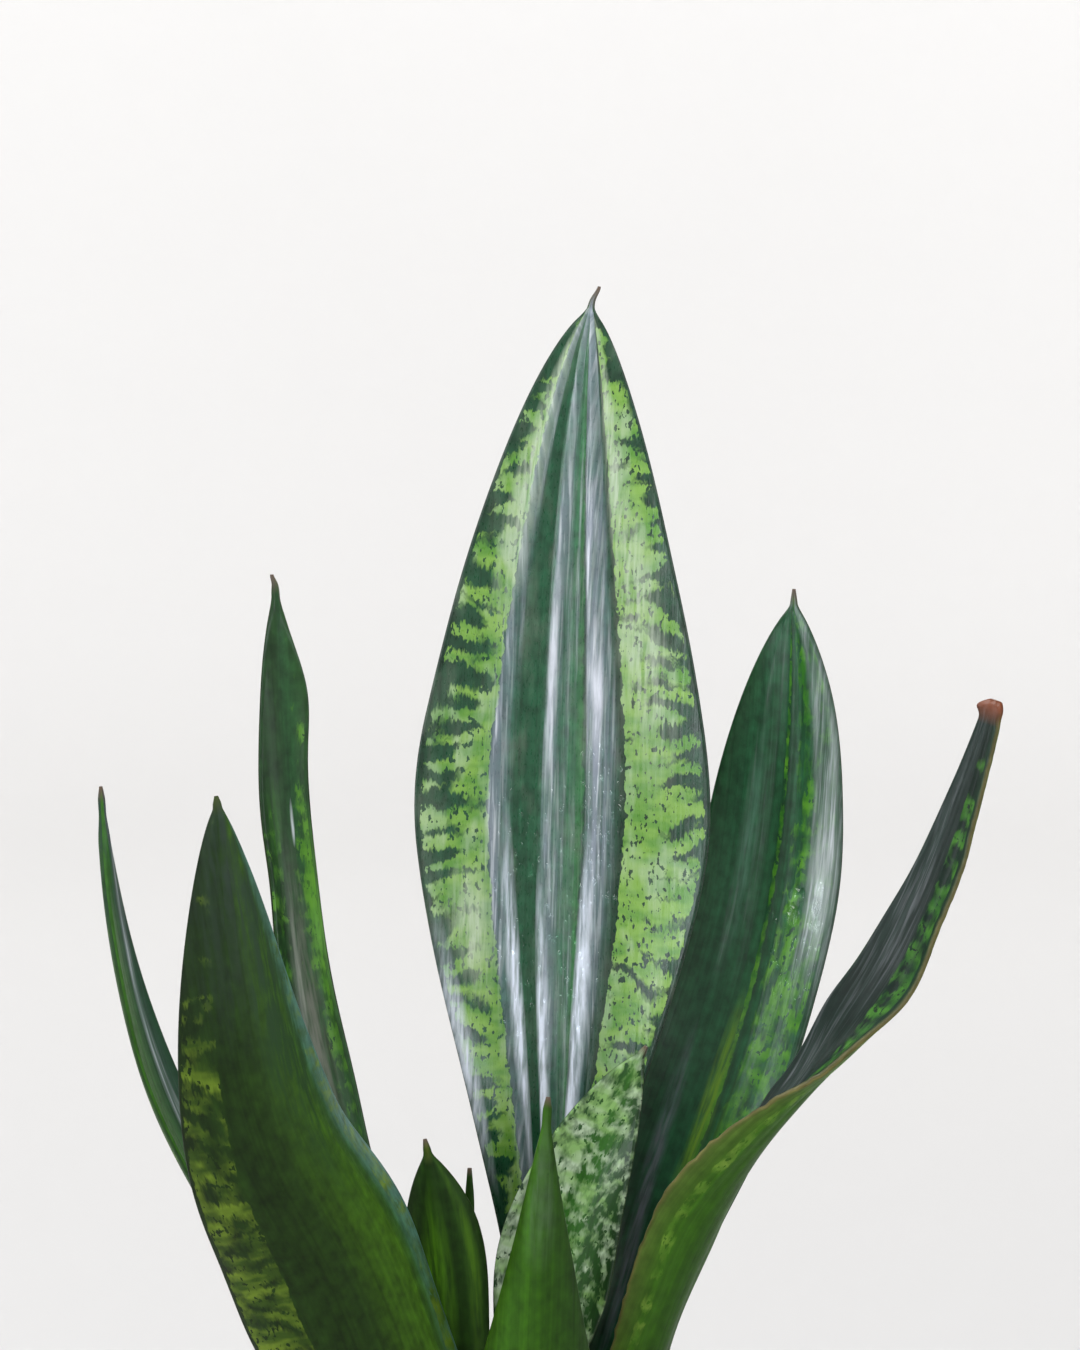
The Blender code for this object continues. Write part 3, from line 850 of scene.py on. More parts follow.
# %% Outer faces
# Painted shade: the deep green of outer faces is partly shade painted into the colour.
OUTER = Skin(
    ground=((-1, "1B300B"), (-0.5, "213F0D"), (-0.3, "1A3409"), (0.3, "1A3409"), (0.5, "213F0D"),
            (1, "1B300B")),
    pale=((-0.97, 0), (-0.94, 0.95), (-0.5, 0.9), (-0.45, 0), (0.45, 0), (0.5, 0.9), (0.94, 0.95), (0.97, 0)),
    light="55701A", mid="456015", soft=0.08, gloss=0.5, along=((0, 0.5), (1, 0.45)), coat=0, shine=0.18,
)
PLAIN = OUTER._replace(pale=((-1, 0), (1, 0)))
SKINS = {}  # name of the leaf: (inner face, outer face)

# %% [markdown]
# The tall leaf at the back has broad pale margins and a dark middle with three silvery ridges, whose
# silver is wax and painted reflection. The long white streaks of light on its wet lower half are painted
# highlights, the whitish patches on its margins painted sheen, and the darkest lines beside the ridges
# painted shade.

# %% The tall leaf
SKINS["leaf_tall_back"] = (
    Skin(
        # Painted shade: the darkest green, at 0.36 to 0.405, is shade in the groove by the right margin. The
        # grey-green stops under the silvery ridges are part of their painted reflection.
        ground=((-1, "14301F"), (-0.95, "1A4029"), (-0.5, "1D4A30"), (-0.48, "34564C"), (-0.42, "2E5646"),
                (-0.36, "1F4C33"), (-0.16, "1C4A30"), (-0.12, "34604A"), (-0.06, "2A5A40"), (0.03, "2A5E3C"),
                (0.13, "27602F"), (0.15, "163A26"), (0.19, "2E5646"), (0.32, "305446"), (0.36, "174228"),
                (0.405, "10301D"), (0.95, "1A4029"), (1, "14301F")),
        pale=((-0.985, 0), (-0.96, 0.94), (-0.8, 0.98), (-0.62, 1.08), (-0.5, 1.25), (-0.49, 0), (0.415, 0),
              (0.425, 1.2), (0.7, 1.06), (0.85, 1.0), (0.96, 0.94), (0.985, 0)),
        bloom=((-0.6, 0.0), (-0.5, 0.3), (-0.485, 0.8), (-0.46, 0.55), (-0.38, 0.15), (-0.33, 0),
               (-0.14, 0), (-0.12, 1.0), (-0.1, 0.9), (-0.03, 0.3), (0.05, 0.15), (0.08, 0.4), (0.12, 0.1),
               (0.16, 0.1), (0.18, 1.0), (0.23, 0.9), (0.3, 0.6), (0.38, 0.1), (0.4, 0), (0.95, 0.0)),
        along=((0, 0.44), (0.3, 0.46), (0.42, 0.5), (0.5, 0.57), (0.58, 0.56), (0.7, 0.5), (0.92, 0.51),
               (0.97, 0.36), (1, 0.3)),
        light="7AA348", mid="568A36", wax_and_sheen="848C98", film_and_sheen=0.45, seed=1.3, coat=0.3, gloss=0.3, ragged=0.008,
        beat=6.4, regular=0.09, band=(10, 4.6), soft=0.05, mottle=0.35, jag=0.8,
        # Painted highlights: DCE4F0, DADDE6 and C9D0DA; painted sheen: C2D0B4 to C8D4BE; painted shade in the
        # grooves: 1A3A26 and 1A4028.
        touches=((-0.94, 0.43, 0.12, 0.11, "C9D0DA", 1.0), (0.2, 0.43, 0.08, 0.17, "DCE4F0", 1.4),
                 (-0.38, 0.44, 0.08, 0.18, "DCE4F0", 1.4), (-0.14, 0.42, 0.06, 0.16, "DCE4F0", 1.3),
                 (0.33, 0.42, 0.06, 0.2, "1A3A26", 0.9), (-0.25, 0.44, 0.06, 0.2, "1A4028", 0.8),
                 (0.24, 0.7, 0.05, 0.06, "DADDE6", 0.9), (-0.11, 0.72, 0.035, 0.1, "DADDE6", 0.9),
                 (-0.68, 0.52, 0.2, 0.06, "C2D0B4", 0.7), (-0.58, 0.88, 0.2, 0.16, "C2D0B8", 0.75),
                 (0.5, 0.88, 0.14, 0.14, "C2D0B8", 0.75), (0.62, 0.74, 0.25, 0.14, "C8D4BE", 0.55)),
    ),
    OUTER._replace(seed=2.1),
)
# %% [markdown]
# The right leaf has one bright stripe beside a green, mottled half. Its silvery right margin is wax and
# painted reflection, and the grey and blue-green streaks on its left half are painted reflections too.
# The twisted leaf is nearly black inside, shows its paler outer face past its roll, and ends in a dry,
# brown tip. A grey line near the edge of its outer face is a painted highlight.

# %% Two leaves on the right
SKINS["leaf_right"] = (
    Skin(
        ground=((-1, "1C4426"), (-0.6, "1E4E30"), (0.0, "1A4A2B"), (0.08, "163B22"), (0.2, "1E5030"),
                (0.42, "1F4E2C"), (0.5, "234E30"), (0.9, "285036"), (1, "1E3C26")),
        pale=((0.0, 0), (0.025, 1.1), (0.075, 1.1), (0.1, 0.6), (0.25, 1.0), (0.34, 0.95), (0.37, 1.08),
              (0.47, 1.08), (0.52, 0.98), (0.9, 1.0), (0.97, 0)),
        bloom=((-0.55, 0), (-0.45, 0.22), (-0.35, 0.0), (-0.2, 0.16), (-0.1, 0), (0.5, 0), (0.62, 0.75),
               (0.92, 0.85), (1, 0.3)),
        along=((0, 0.52), (0.45, 0.53), (0.6, 0.55), (0.67, 0.48), (0.73, 0.42), (1, 0.42)),
        wax_and_sheen_along=((0, 0), (0.6, 0), (0.67, 0.8), (0.7, 1), (0.8, 1), (0.85, 0.6), (1, 0.6)),
        light="4E8A22", mid="2B681B", wax_and_sheen="8E9C96", band=(3, 5), soft=0.1, seed=3.7, coat=0.1, regular=0,
        mottle=0.35,
        # Painted reflections: C4CCCC, A4B0AC, 70767E and 5F8A74 stand in for light reflected off the blade.
        touches=((0.75, 0.735, 0.25, 0.07, "C4CCCC", 0.8), (0.9, 0.86, 0.1, 0.08, "A4B0AC", 0.6),
                 (-0.55, 0.38, 0.16, 0.2, "70767E", 1.0), (-0.38, 0.76, 0.12, 0.14, "5F8A74", 0.6),
                 (-0.04, 0.5, 0.16, 0.12, "5F8A1E", 1.3), (-0.12, 0.36, 0.16, 0.1, "587E1E", 1.2),
                 (0.22, 0.44, 0.05, 0.2, "12301A", 1.2), (0.35, 0.42, 0.3, 0.14, "3E7A1A", 0.8)),
    ),
    OUTER._replace(seed=4.4),
)
SKINS["leaf_twisted_right"] = (
    Skin(
        ground=((-1, "182822"), (-0.4, "0F211A"), (0.3, "0D1F17"), (0.9, "152C1E"), (0.96, "3A4426"),
                (1, "57522F")),
        pale=((-0.1, 0), (0.15, 0.93), (0.8, 1.02), (0.9, 0)),
        along=((0, 0.45), (0.75, 0.52), (0.9, 0.48), (1, 0.2)),
        bloom=((-1, 0.1), (-0.6, 0.25), (-0.2, 0.1), (0.3, 0)), wax_and_sheen="55635F", coat=0.05, gloss=0.42,
        light="3F7426", mid="2C5C22", band=(5, 5), soft=0.12, tip=(0.985, "6E3C24"), seed=5.2,
    ),
    OUTER._replace(
        ground=((-1, "3A5426"), (-0.8, "30580C"), (0, "264C06"), (0.6, "345E0E"), (0.92, "4A6224"),
                (1, "625D36")),
        pale=((0.42, 0), (0.53, 0.95), (0.68, 1.0), (0.8, 0)), soft=0.14, regular=0.03, band=(6, 4),
        tip=(0.985, "6E3C24"), light="6F9034", mid="527F22", seed=5.9,
        # Painted highlight: 8F9A94 is a highlight along the edge of the outer face.
        touches=((-0.9, 0.3, 0.25, 0.2, "8F9A94", 0.5),),
    ),
)
# %% [markdown]
# Three leaves lean left. The broad one at the front turns its outer face to the viewer, dark in the
# middle, partly as painted shade, and blue-green along one edge, which is a painted reflection. The
# narrow one is mottled right across its channel and has a painted highlight on its crease. The far one
# shows a painted silvery reflection inside its channel.

# %% Three leaves on the left
SKINS["leaf_front_left"] = (
    OUTER._replace(seed=6.1),
    OUTER._replace(
        # Painted reflection: the blue-green of the edge, from -1 to -0.75, and the touch of 6A8A80 stand in
        # for bright light reflected off it.
        ground=((-1, "4C7268"), (-0.75, "426A52"), (-0.66, "2F5222"), (-0.56, "3A5E12"), (-0.2, "2D4C0A"),
                (0.0, "1F380B"), (0.42, "1B320B"), (0.46, "1D360A"), (1, "152709")),
        pale=((-0.98, 0), (-0.93, 1.05), (-0.75, 1.0), (-0.66, 0), (0.44, 0), (0.47, 1.04), (0.94, 1.02),
              (0.99, 0)),
        along=((0, 0.5), (0.4, 0.54), (0.66, 0.49), (0.78, 0.36), (1, 0.2)), light="6A8424", mid="344E10",
        soft=0.12, band=(7, 5), seed=6.6, tip=(0.99, "3E4A26"), mottle=0.35, regular=0.05,
        touches=((-0.85, 0.6, 0.15, 0.2, "6A8A80", 0.5), (-0.8, 0.3, 0.25, 0.14, "4F7A22", 0.7),
                 (-0.45, 0.8, 0.5, 0.3, "25421E", 1.6), (0, 0.97, 1.4, 0.25, "2E3D32", 0.9)),
    ),
)
SKINS["leaf_narrow_left"] = (
    Skin(
        ground=((-1, "1B3A1A"), (-0.3, "1E3E1C"), (0.2, "204424"), (0.5, "244A27"), (1, "22461E")),
        pale=((-0.9, 0.85), (-0.4, 0.85), (-0.2, 0.6), (0.3, 0.75), (0.5, 1.0), (0.9, 1.05), (1, 0)),
        along=((0, 0.4), (0.5, 0.43), (0.62, 0.58), (0.76, 0.6), (0.8, 0.36), (1, 0.1)),
        light="4F8226", mid="376A20", band=(2.4, 5), soft=0.1, seed=7.3, mottle=0.35, coat=0.05,
        # Painted highlight: the pale grey touch of D3DADD on the crease.
        touches=((0.85, 0.68, 0.4, 0.12, "5A9626", 0.7), (0.85, 0.42, 0.4, 0.2, "22401C", 0.8),
                 (0.05, 0.56, 0.6, 0.22, "666A5E", 1.0), (-0.2, 0.62, 0.12, 0.1, "8A9082", 0.6),
                 (0.4, 0.52, 0.1, 0.14, "23301F", 0.8), (0.2, 0.77, 0.08, 0.024, "D3DADD", 1.1),
                 (-0.55, 0.77, 0.4, 0.05, "2F6A12", 0.7)),
    ),
    OUTER._replace(seed=7.7),
)
SKINS["leaf_far_left"] = (
    Skin(ground=((-1, "3A6A22"), (-0.3, "2C5A24"), (0.1, "1F4428"), (0.6, "23452E"), (1, "1E3C26")), seed=8.2,
         # Painted reflection: the silvery wax in its channel is partly light reflected off it.
         bloom=((0.05, 0), (0.25, 0.9), (0.4, 0.6), (0.55, 0.1), (1, 0)), wax_and_sheen="8A9A96", coat=0.0, shine=0.2,
         touches=((0, 0.98, 1.4, 0.2, "2A3A3E", 1.1),)),
    OUTER._replace(ground=((-1, "2C4A22"), (-0.5, "3A5E2A"), (0.2, "24421E"), (1, "223A1C")), seed=8.6,
                   pale=((-1, 0), (-0.9, 0.9), (-0.5, 0.9), (-0.3, 0)), light="5E8038", mid="486A2A",
                   touches=((-0.5, 0.98, 1.4, 0.2, "2A3A3E", 1.1),)),
)
# %% [markdown]
# The four short leaves are young: plain green outside, and one still has its pale mottling.

# %% Four short leaves
SKINS["leaf_small_inner"] = (
    Skin(seed=9.2),
    PLAIN._replace(
        seed=9.7, mottle=0.3,
        touches=((0.1, 0.72, 0.35, 0.22, "4A7C10", 1.1), (0, 1, 0.8, 0.05, "6A7A2A", 0.8),
                 (0.6, 0.5, 0.25, 0.4, "4A7410", 0.9), (-0.6, 0.75, 0.2, 0.25, "47700F", 0.9)),
    ),
)
SKINS["leaf_inner_spike"] = (Skin(seed=10.1), PLAIN._replace(seed=10.3))
SKINS["leaf_front_spear"] = (
    Skin(seed=11.1),
    PLAIN._replace(ground=((-1, "1E3C08"), (-0.3, "264A08"), (0.2, "305A0B"), (0.6, "34600F"), (1, "2A4A08")),
                   seed=11.6, mottle=0.25, touches=((0.1, 0.85, 0.7, 0.14, "5E7658", 0.6),)),
)
SKINS["leaf_young_mottled"] = (
    Skin(
        ground=((-1, "153614"), (-0.3, "1E4C12"), (0.1, "2A5E14"), (1, "133011")),
        pale=((-1, 1.0), (-0.3, 1.06), (0.2, 0.96), (0.6, 0.94), (0.95, 0.9)),
        light="A9BD9C", mid="7CA45C", band=(2.6, 3.2), jag=0.6, soft=0.13, fleck=0.62, seed=12.4, regular=0,
    ),
    OUTER._replace(seed=12.8),
)

# %% Make the blades
for name, leaf in LEAVES.items():
    blade = make_blade(name + "_blade", leaf)
    inner, outer = SKINS[name]
    blade.data.materials.append(leaf_skin(name + "_inner_skin", inner))
    blade.data.materials.append(leaf_skin(name + "_outer_skin", outer))
    thicken(blade)
    hand_over(blade, "leaf", name)

# %% [markdown]
# ## Water drops
#
# The plant has just been misted. Fine drops sit in the channels of the two leaves that face forward,
# and on the right one a few have run together and down the blade. A drop is a flattened ball, half
# sunk into the skin so that it meets it all round. The same measures that laid out the blades tell
# where the skin is and which way it faces.

# %% Where a drop sits
def on_blade(leaf, rows, across, share):
    """A point of the inner face, in metres, and the way out of it."""
    row = min(rows, key=lambda candidate: abs(candidate.share - share))
    point, normal = on_arc(leaf, row, across)
    lift = relief(leaf, across, row) + THICKNESS * wall_share(across, row.half) / 2
    return (point + normal * lift) * MM, normal


# %% Drops
DROP_FIELDS = {  # leaf, across from and to, share from and to, how many, largest radius in mm, stretch
    "fine_drops": (
        ("leaf_tall_back", -0.5, 0.36, 0.44, 0.63, 190, 0.75, 1.5),
        ("leaf_tall_back", 0.12, 0.4, 0.54, 0.66, 70, 0.9, 1.5),
        ("leaf_right", 0.1, 0.9, 0.62, 0.7, 50, 0.8, 1.7),
    ),
    "running_drops": (
        ("leaf_right", 0.36, 0.48, 0.68, 0.73, 5, 2.9, 2.4),
        ("leaf_right", 0.68, 0.78, 0.68, 0.74, 5, 3.0, 2.6),
    ),
}
DROP_RISE = 0.75  # height of a drop's ball as a share of its width
DROP_SECTIONS = 300

# Water is clear and mirror-smooth: it shows as a spark of the lamps over a bent view of the skin.
water, tree, shader = new_material("clear_water")
feed(tree, shader, {
    "Base Color": linear("FFFFFF"), "Roughness": 0.02, "IOR": 1.33, "Transmission Weight": 1.0,
})


def scatter_drops(piece_name, fields):
    drops = []
    for name, left, right, lower, upper, count, largest, stretch in fields:
        rows = sections(LEAVES[name], DROP_SECTIONS)
        for _ in range(count):
            size = largest * (0.4 + 0.6 * random.random() ** 3) * MM
            across, share = random.uniform(left, right), random.uniform(lower, upper)
            place, normal = on_blade(LEAVES[name], rows, across, share)
            deselect_all()
            bpy.ops.mesh.primitive_ico_sphere_add(subdivisions=2, radius=size, location=place,
                                                  rotation=normal.to_track_quat("Z", "Y").to_euler())
            drop = bpy.context.object
            drop.scale = (1, random.uniform(1, stretch), DROP_RISE)
            drops.append(drop)
    deselect_all()
    for drop in drops:
        drop.select_set(True)
    bpy.context.view_layer.objects.active = drops[0]
    bpy.ops.object.join()
    piece = bpy.context.object
    piece.name = piece_name
    piece.data.name = piece_name
    bpy.ops.object.transform_apply(location=True, rotation=True, scale=True)
    bpy.ops.object.shade_smooth()
    piece.data.materials.clear()
    piece.data.materials.append(water)
    piece.visible_shadow = False  # light passes through a drop to the skin under it
    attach(piece, "root")
    print(piece_name + ":", len(drops))


random.seed(41)
for piece_name, fields in DROP_FIELDS.items():
    scatter_drops(piece_name, fields)

# %% [markdown]
# ## The pot
#
# A clay pot is pressed or thrown in one piece: a tapered wall, a thick band round the rim that gives
# the fingers a hold, a flat floor and drain holes. It starts as a tapered cylinder. The top face is
# widened for the step, raised for the band, inset for the wall and pushed down for the hollow. Then
# every rim is bevelled, because clay has no sharp edges.

# %% Picking parts of a mesh
NEAR = 0.1 * MM  # how far off a height still counts as at it, and a face as level


def pick(obj, kind, test):
    """In edit mode, selects the faces or edges whose middle and height pass the test."""
    bpy.ops.mesh.select_mode(type=kind)
    bpy.ops.mesh.select_all(action="DESELECT")
    bpy.ops.object.mode_set(mode="OBJECT")
    points = [vert.co for vert in obj.data.vertices]
    for item in obj.data.polygons if kind == "FACE" else obj.data.edges:
        corners = [points[i] for i in item.vertices]
        middle = sum(corners, Vector()) / len(corners)
        rise = max(c.z for c in corners) - min(c.z for c in corners)
        item.select = test(middle, rise)
    bpy.ops.object.mode_set(mode="EDIT")


def ring(radius, height):
    """A test for the edges of a level ring."""
    return lambda middle, rise: (abs(middle.z - height) < 2 * NEAR and rise < NEAR
                                 and abs(middle.xy.length - radius) < 5 * NEAR)


# %% Turn the pot
POT_HEIGHT = 125 * MM
BASE_RADIUS = 47 * MM
RIM_RADIUS = 70 * MM
BAND_HEIGHT = 27 * MM
BAND_STEP = 5 * MM
POT_WALL = 6 * MM
POT_FLOOR = 9 * MM
LIP = 2.2 * MM
TAPER = (RIM_RADIUS - BAND_STEP - BASE_RADIUS) / POT_HEIGHT
SIDES = 128

band_foot = POT_HEIGHT - BAND_HEIGHT
root_radius = BASE_RADIUS + TAPER * band_foot
band_radius = RIM_RADIUS - TAPER * BAND_HEIGHT
mouth_radius = RIM_RADIUS - POT_WALL
floor_radius = BASE_RADIUS - POT_WALL

deselect_all()
bpy.ops.mesh.primitive_cone_add(vertices=SIDES, radius1=BASE_RADIUS, radius2=root_radius, depth=band_foot,
                                location=(0, 0, band_foot / 2))
pot = bpy.context.object
pot.name = "terracotta_pot"
pot.data.name = "terracotta_pot"
bpy.ops.object.transform_apply(location=True)
bpy.ops.object.mode_set(mode="EDIT")
pick(pot, "FACE", lambda middle, rise: middle.z > band_foot - NEAR and rise < NEAR)
for size_now, size_next, lift in (
    (root_radius, band_radius, 0),  # the step under the band
    (band_radius, RIM_RADIUS, BAND_HEIGHT),
    (RIM_RADIUS, mouth_radius, 0),  # the wall's thickness
    (mouth_radius, floor_radius, POT_FLOOR - POT_HEIGHT),
):
    bpy.ops.mesh.extrude_region_move(TRANSFORM_OT_translate={"value": (0, 0, lift)})
    scale = size_next / size_now
    bpy.ops.transform.resize(value=(scale, scale, 1))
for radius, height, width in (
    (RIM_RADIUS, POT_HEIGHT, LIP),
    (mouth_radius, POT_HEIGHT, LIP),
    (band_radius, band_foot, LIP / 2),
    (BASE_RADIUS, 0, LIP),
    (floor_radius, POT_FLOOR, 2 * LIP),
):
    pick(pot, "EDGE", ring(radius, height))
    bpy.ops.mesh.bevel(offset=width, segments=4, affect="EDGES")
print("pot:", len(pot.data.polygons), "faces before its rings")

# %% [markdown]
# A turned wall is never quite even. The long faces are cut into level rings, and each ring stands a
# hair further in or out, which shows as faint throwing lines. Three drain holes are cut last.

# %% Throwing rings and drain holes
RING_DEPTH = 0.16 * MM
RING_SPACING = 2.6 * MM
DENT_SIZE = 25 * MM  # the hand also leaves slow, shallow dents
WALL_CUTS = 36
HOLE_RADIUS = 5.5 * MM
HOLE_CIRCLE = 22 * MM
HOLE_BEARINGS = (90, 210, 330)

pick(pot, "EDGE", lambda middle, rise: rise > 15 * MM)
bpy.ops.mesh.subdivide(number_cuts=WALL_CUTS)
bpy.ops.object.mode_set(mode="OBJECT")
for vert in pot.data.vertices:
    reach = vert.co.xy.length
    if reach < floor_radius - 5 * MM:
        continue
    lines = noise.noise(Vector((0, 0, vert.co.z / RING_SPACING))) + noise.noise(vert.co / DENT_SIZE)
    vert.co.xy *= 1 + lines * RING_DEPTH / reach

holes = []
for bearing in HOLE_BEARINGS:
    angle = math.radians(bearing)
    deselect_all()
    place = (HOLE_CIRCLE * math.cos(angle), HOLE_CIRCLE * math.sin(angle), 0)
    bpy.ops.mesh.primitive_cylinder_add(vertices=40, radius=HOLE_RADIUS, depth=4 * POT_FLOOR, location=place)
    holes.append(bpy.context.object)
for hole in holes:
    cut_out = pot.modifiers.new("Drain", "BOOLEAN")
    cut_out.object = hole
    cut_out.operation = "DIFFERENCE"
    cut_out.solver = "EXACT"
apply_modifiers(pot)
for hole in holes:
    bpy.data.objects.remove(hole, do_unlink=True)
make_active(pot)
bpy.ops.object.shade_smooth_by_angle(angle=math.radians(35))
print("pot:", len(pot.data.polygons), "faces")

# %% [markdown]
# Unglazed clay is matte. Its colour shifts with the heat of the firing, fine sand shows as dark and
# light grains, and hard water leaves a chalky bloom that is strongest low down and under the band.

# %% Fired clay
clay, tree, shader = new_material("unglazed_fired_clay")
place = add(tree, "TexCoord").outputs["Object"]


def clay_noise(size_mm, detail=3.0, squash=1.0):
    """Noise with features of that size. A squash above 1 flattens them into level rings."""
    scale = 1 / (size_mm * MM)
    scaled = add(tree, "Mapping", {"Vector": place, "Scale": (scale, scale, scale * squash)})
    return add(tree, "TexNoise", {"Vector": scaled, "Scale": 1.0, "Detail": detail})


firing = fill_ramp(add(tree, "ValToRGB", {"Fac": clay_noise(38)}),
                   ((0.3, "B0694A"), (0.5, "B97352"), (0.7, "C4805F")))
grains = fill_ramp(add(tree, "ValToRGB", {"Fac": clay_noise(0.9, 1)}),
                   ((0.3, 0.72), (0.4, 1.0), (0.64, 1.0), (0.72, 1.2)))
grainy = add(tree, "Mix", {0: 1.0, 6: firing, 7: grains}, data_type="RGBA", blend_type="MULTIPLY")
height = add(tree, "SeparateXYZ", {"Vector": place}).outputs["Z"]
height_share = add(tree, "Math", {0: height, 1: POT_HEIGHT}, operation="DIVIDE")
damp = fill_ramp(add(tree, "ValToRGB", {"Fac": height_share}),
                 ((0, 0.7), (0.25, 0.25), (0.6, 0.12), (0.76, 0.3), (0.8, 0.12), (1, 0.2)))
chalk = add(tree, "MapRange", span(clay_noise(30, 6), 0.36, 0.74, 0.0, 0.8))
bloom = add(tree, "Math", {0: chalk, 1: damp}, operation="MULTIPLY")
faded = add(tree, "Mix", {0: bloom, 6: grainy, 7: linear("DCC3B0")}, data_type="RGBA")
rings = add(tree, "Math", {0: clay_noise(9, 2, squash=8), 1: clay_noise(0.7, 2)}, operation="ADD")
bump = add(tree, "Bump", {"Height": rings, "Strength": 0.5, "Distance": 0.35 * MM})
feed(tree, shader, {"Base Color": faded, "Normal": bump, "Roughness": 0.9, "Specular IOR Level": 0.25})
pot.data.materials.append(clay)
hand_over(pot, "terracotta", "pot")

# %% [markdown]
# ## Potting mix
#
# Bark, peat and perlite fill the pot to a finger's breadth under its rim. The mix is one body with a
# lumpy top that closes round the feet of the leaves. Its top is inset ring by ring, so that there
# are points to raise and lower.

# %% The body of the mix
MIX_LEVEL = 110 * MM
MIX_GAP = 0.3 * MM
MIX_RINGS = 26
LUMPS = ((1.4, 16), (0.9, 5), (0.4, 2))  # (height, spacing) in mm
SETTLED = 0.3  # mm that watering has sunk the mix


def inner_radius(height):
    return floor_radius + (mouth_radius - floor_radius) * (height - POT_FLOOR) / (POT_HEIGHT - POT_FLOOR)


def mix_height(x, y):
    """Height of the lumpy top, in metres."""
    spot = Vector((x, y, 0)) / MM
    lumps = sum(height * noise.noise(spot / spacing) for height, spacing in LUMPS)
    return MIX_LEVEL + (lumps - SETTLED) * MM


mix_floor = POT_FLOOR + MIX_GAP
mix_low = inner_radius(mix_floor) - 2 * LIP
mix_foot = inner_radius(mix_floor + 2 * LIP) - MIX_GAP
mix_high = inner_radius(MIX_LEVEL) - MIX_GAP - RING_DEPTH
deselect_all()
bpy.ops.mesh.primitive_cone_add(vertices=SIDES, radius1=mix_low, radius2=mix_foot, depth=2 * LIP,
                                location=(0, 0, mix_floor + LIP))
mix = bpy.context.object
mix.name = "potting_mix_body"
mix.data.name = "potting_mix_body"
bpy.ops.object.transform_apply(location=True)
bpy.ops.object.mode_set(mode="EDIT")
pick(mix, "FACE", lambda middle, rise: middle.z > mix_floor + 2 * LIP - NEAR and rise < NEAR)
bpy.ops.mesh.extrude_region_move(TRANSFORM_OT_translate={"value": (0, 0, MIX_LEVEL - mix_floor - 2 * LIP)})
scale = mix_high / mix_foot
bpy.ops.transform.resize(value=(scale, scale, 1))
for _ in range(MIX_RINGS - 1):
    bpy.ops.mesh.inset(thickness=mix_high / MIX_RINGS)
bpy.ops.object.mode_set(mode="OBJECT")
for vert in mix.data.vertices:
    if vert.co.z > MIX_LEVEL - NEAR:
        vert.co.z = mix_height(vert.co.x, vert.co.y)
bpy.ops.object.shade_smooth_by_angle(angle=math.radians(50))
print("mix:", len(mix.data.polygons), "faces")

# %% [markdown]
# Loose crumbs lie on top: dark peat, brown bark chips and white perlite. Each kind is one small
# rough stone with few faces, repeated at many sizes and turns. A crumb that would poke into a leaf
# is left out.

# %% Kinds of crumbs
class Crumbs(NamedTuple):
    """One kind of loose crumb, sizes in mm."""

    count: int
    smallest: float
    largest: float
    flatness: float
    colours: tuple
    roughness: float


CRUMBS = {
    "peat_crumbs": Crumbs(900, 0.7, 2.2, 0.8, ("1E150F", "2B1E15", "3A291C"), 0.95),
    "bark_chips": Crumbs(260, 1.8, 4.6, 0.4, ("3E2A1B", "5B3D26", "7A5535"), 0.85),
    "perlite_grains": Crumbs(130, 0.8, 2.0, 0.9, ("D8D4C8", "E6E3D9", "F0EEE6"), 0.9),
}


# %% What crumbs look like
def crumb_material(name, kind):
    """Matte crumbs, each with its own tone and mottled by a fine grain, so that no two look alike."""
    material, tree, shader = new_material(name)
    tone = add(tree, "Attribute", attribute_name="tone").outputs["Fac"]
    place = add(tree, "TexCoord").outputs["Object"]
    speckle = add(tree, "TexNoise", {"Vector": place, "Scale": 1 / (0.8 * MM), "Detail": 2.0})
    spread = add(tree, "Math", {0: speckle, 1: 0.5}, operation="SUBTRACT")
    level = add(tree, "Math", {0: tone, 1: spread}, operation="ADD")
    stops = [(i / (len(kind.colours) - 1), colour) for i, colour in enumerate(kind.colours)]
    colour = fill_ramp(add(tree, "ValToRGB", {"Fac": level}), stops)
    feed(tree, shader, {"Base Color": colour, "Roughness": kind.roughness, "Specular IOR Level": 0.2})
    return material


# %% One crumb, and where it may lie
CRUMB_LIFT = 0.35  # how high its middle lies above the mix, as a share of its own height
CRUMB_REACH = 1.3  # how far out its corners stand, as a share of its radius
CRUMB_GAP = 0.4 * MM  # what stays free between it and a leaf
FEET_HEIGHT = MIX_LEVEL + 8 * MM  # no crumb reaches a leaf above this

feet = [vert.co for obj in bpy.data.objects if obj.name.endswith("_blade") for vert in obj.data.vertices
        if vert.co.z < FEET_HEIGHT]
near_feet = KDTree(len(feet))
for i, co in enumerate(feet):
    near_feet.insert(co, i)
near_feet.balance()


def rough_stone():
    """Corners of a small rough stone about as big as a ball of radius 1, and its faces."""
    deselect_all()
    bpy.ops.mesh.primitive_ico_sphere_add(subdivisions=1, radius=1, location=(0, 0, 0))
    stone = bpy.context.object
    shape = [vert.co * random.uniform(0.75, 1.2) for vert in stone.data.vertices]
    corners = [tuple(face.vertices) for face in stone.data.polygons]
    bpy.data.objects.remove(stone, do_unlink=True)
    return shape, corners


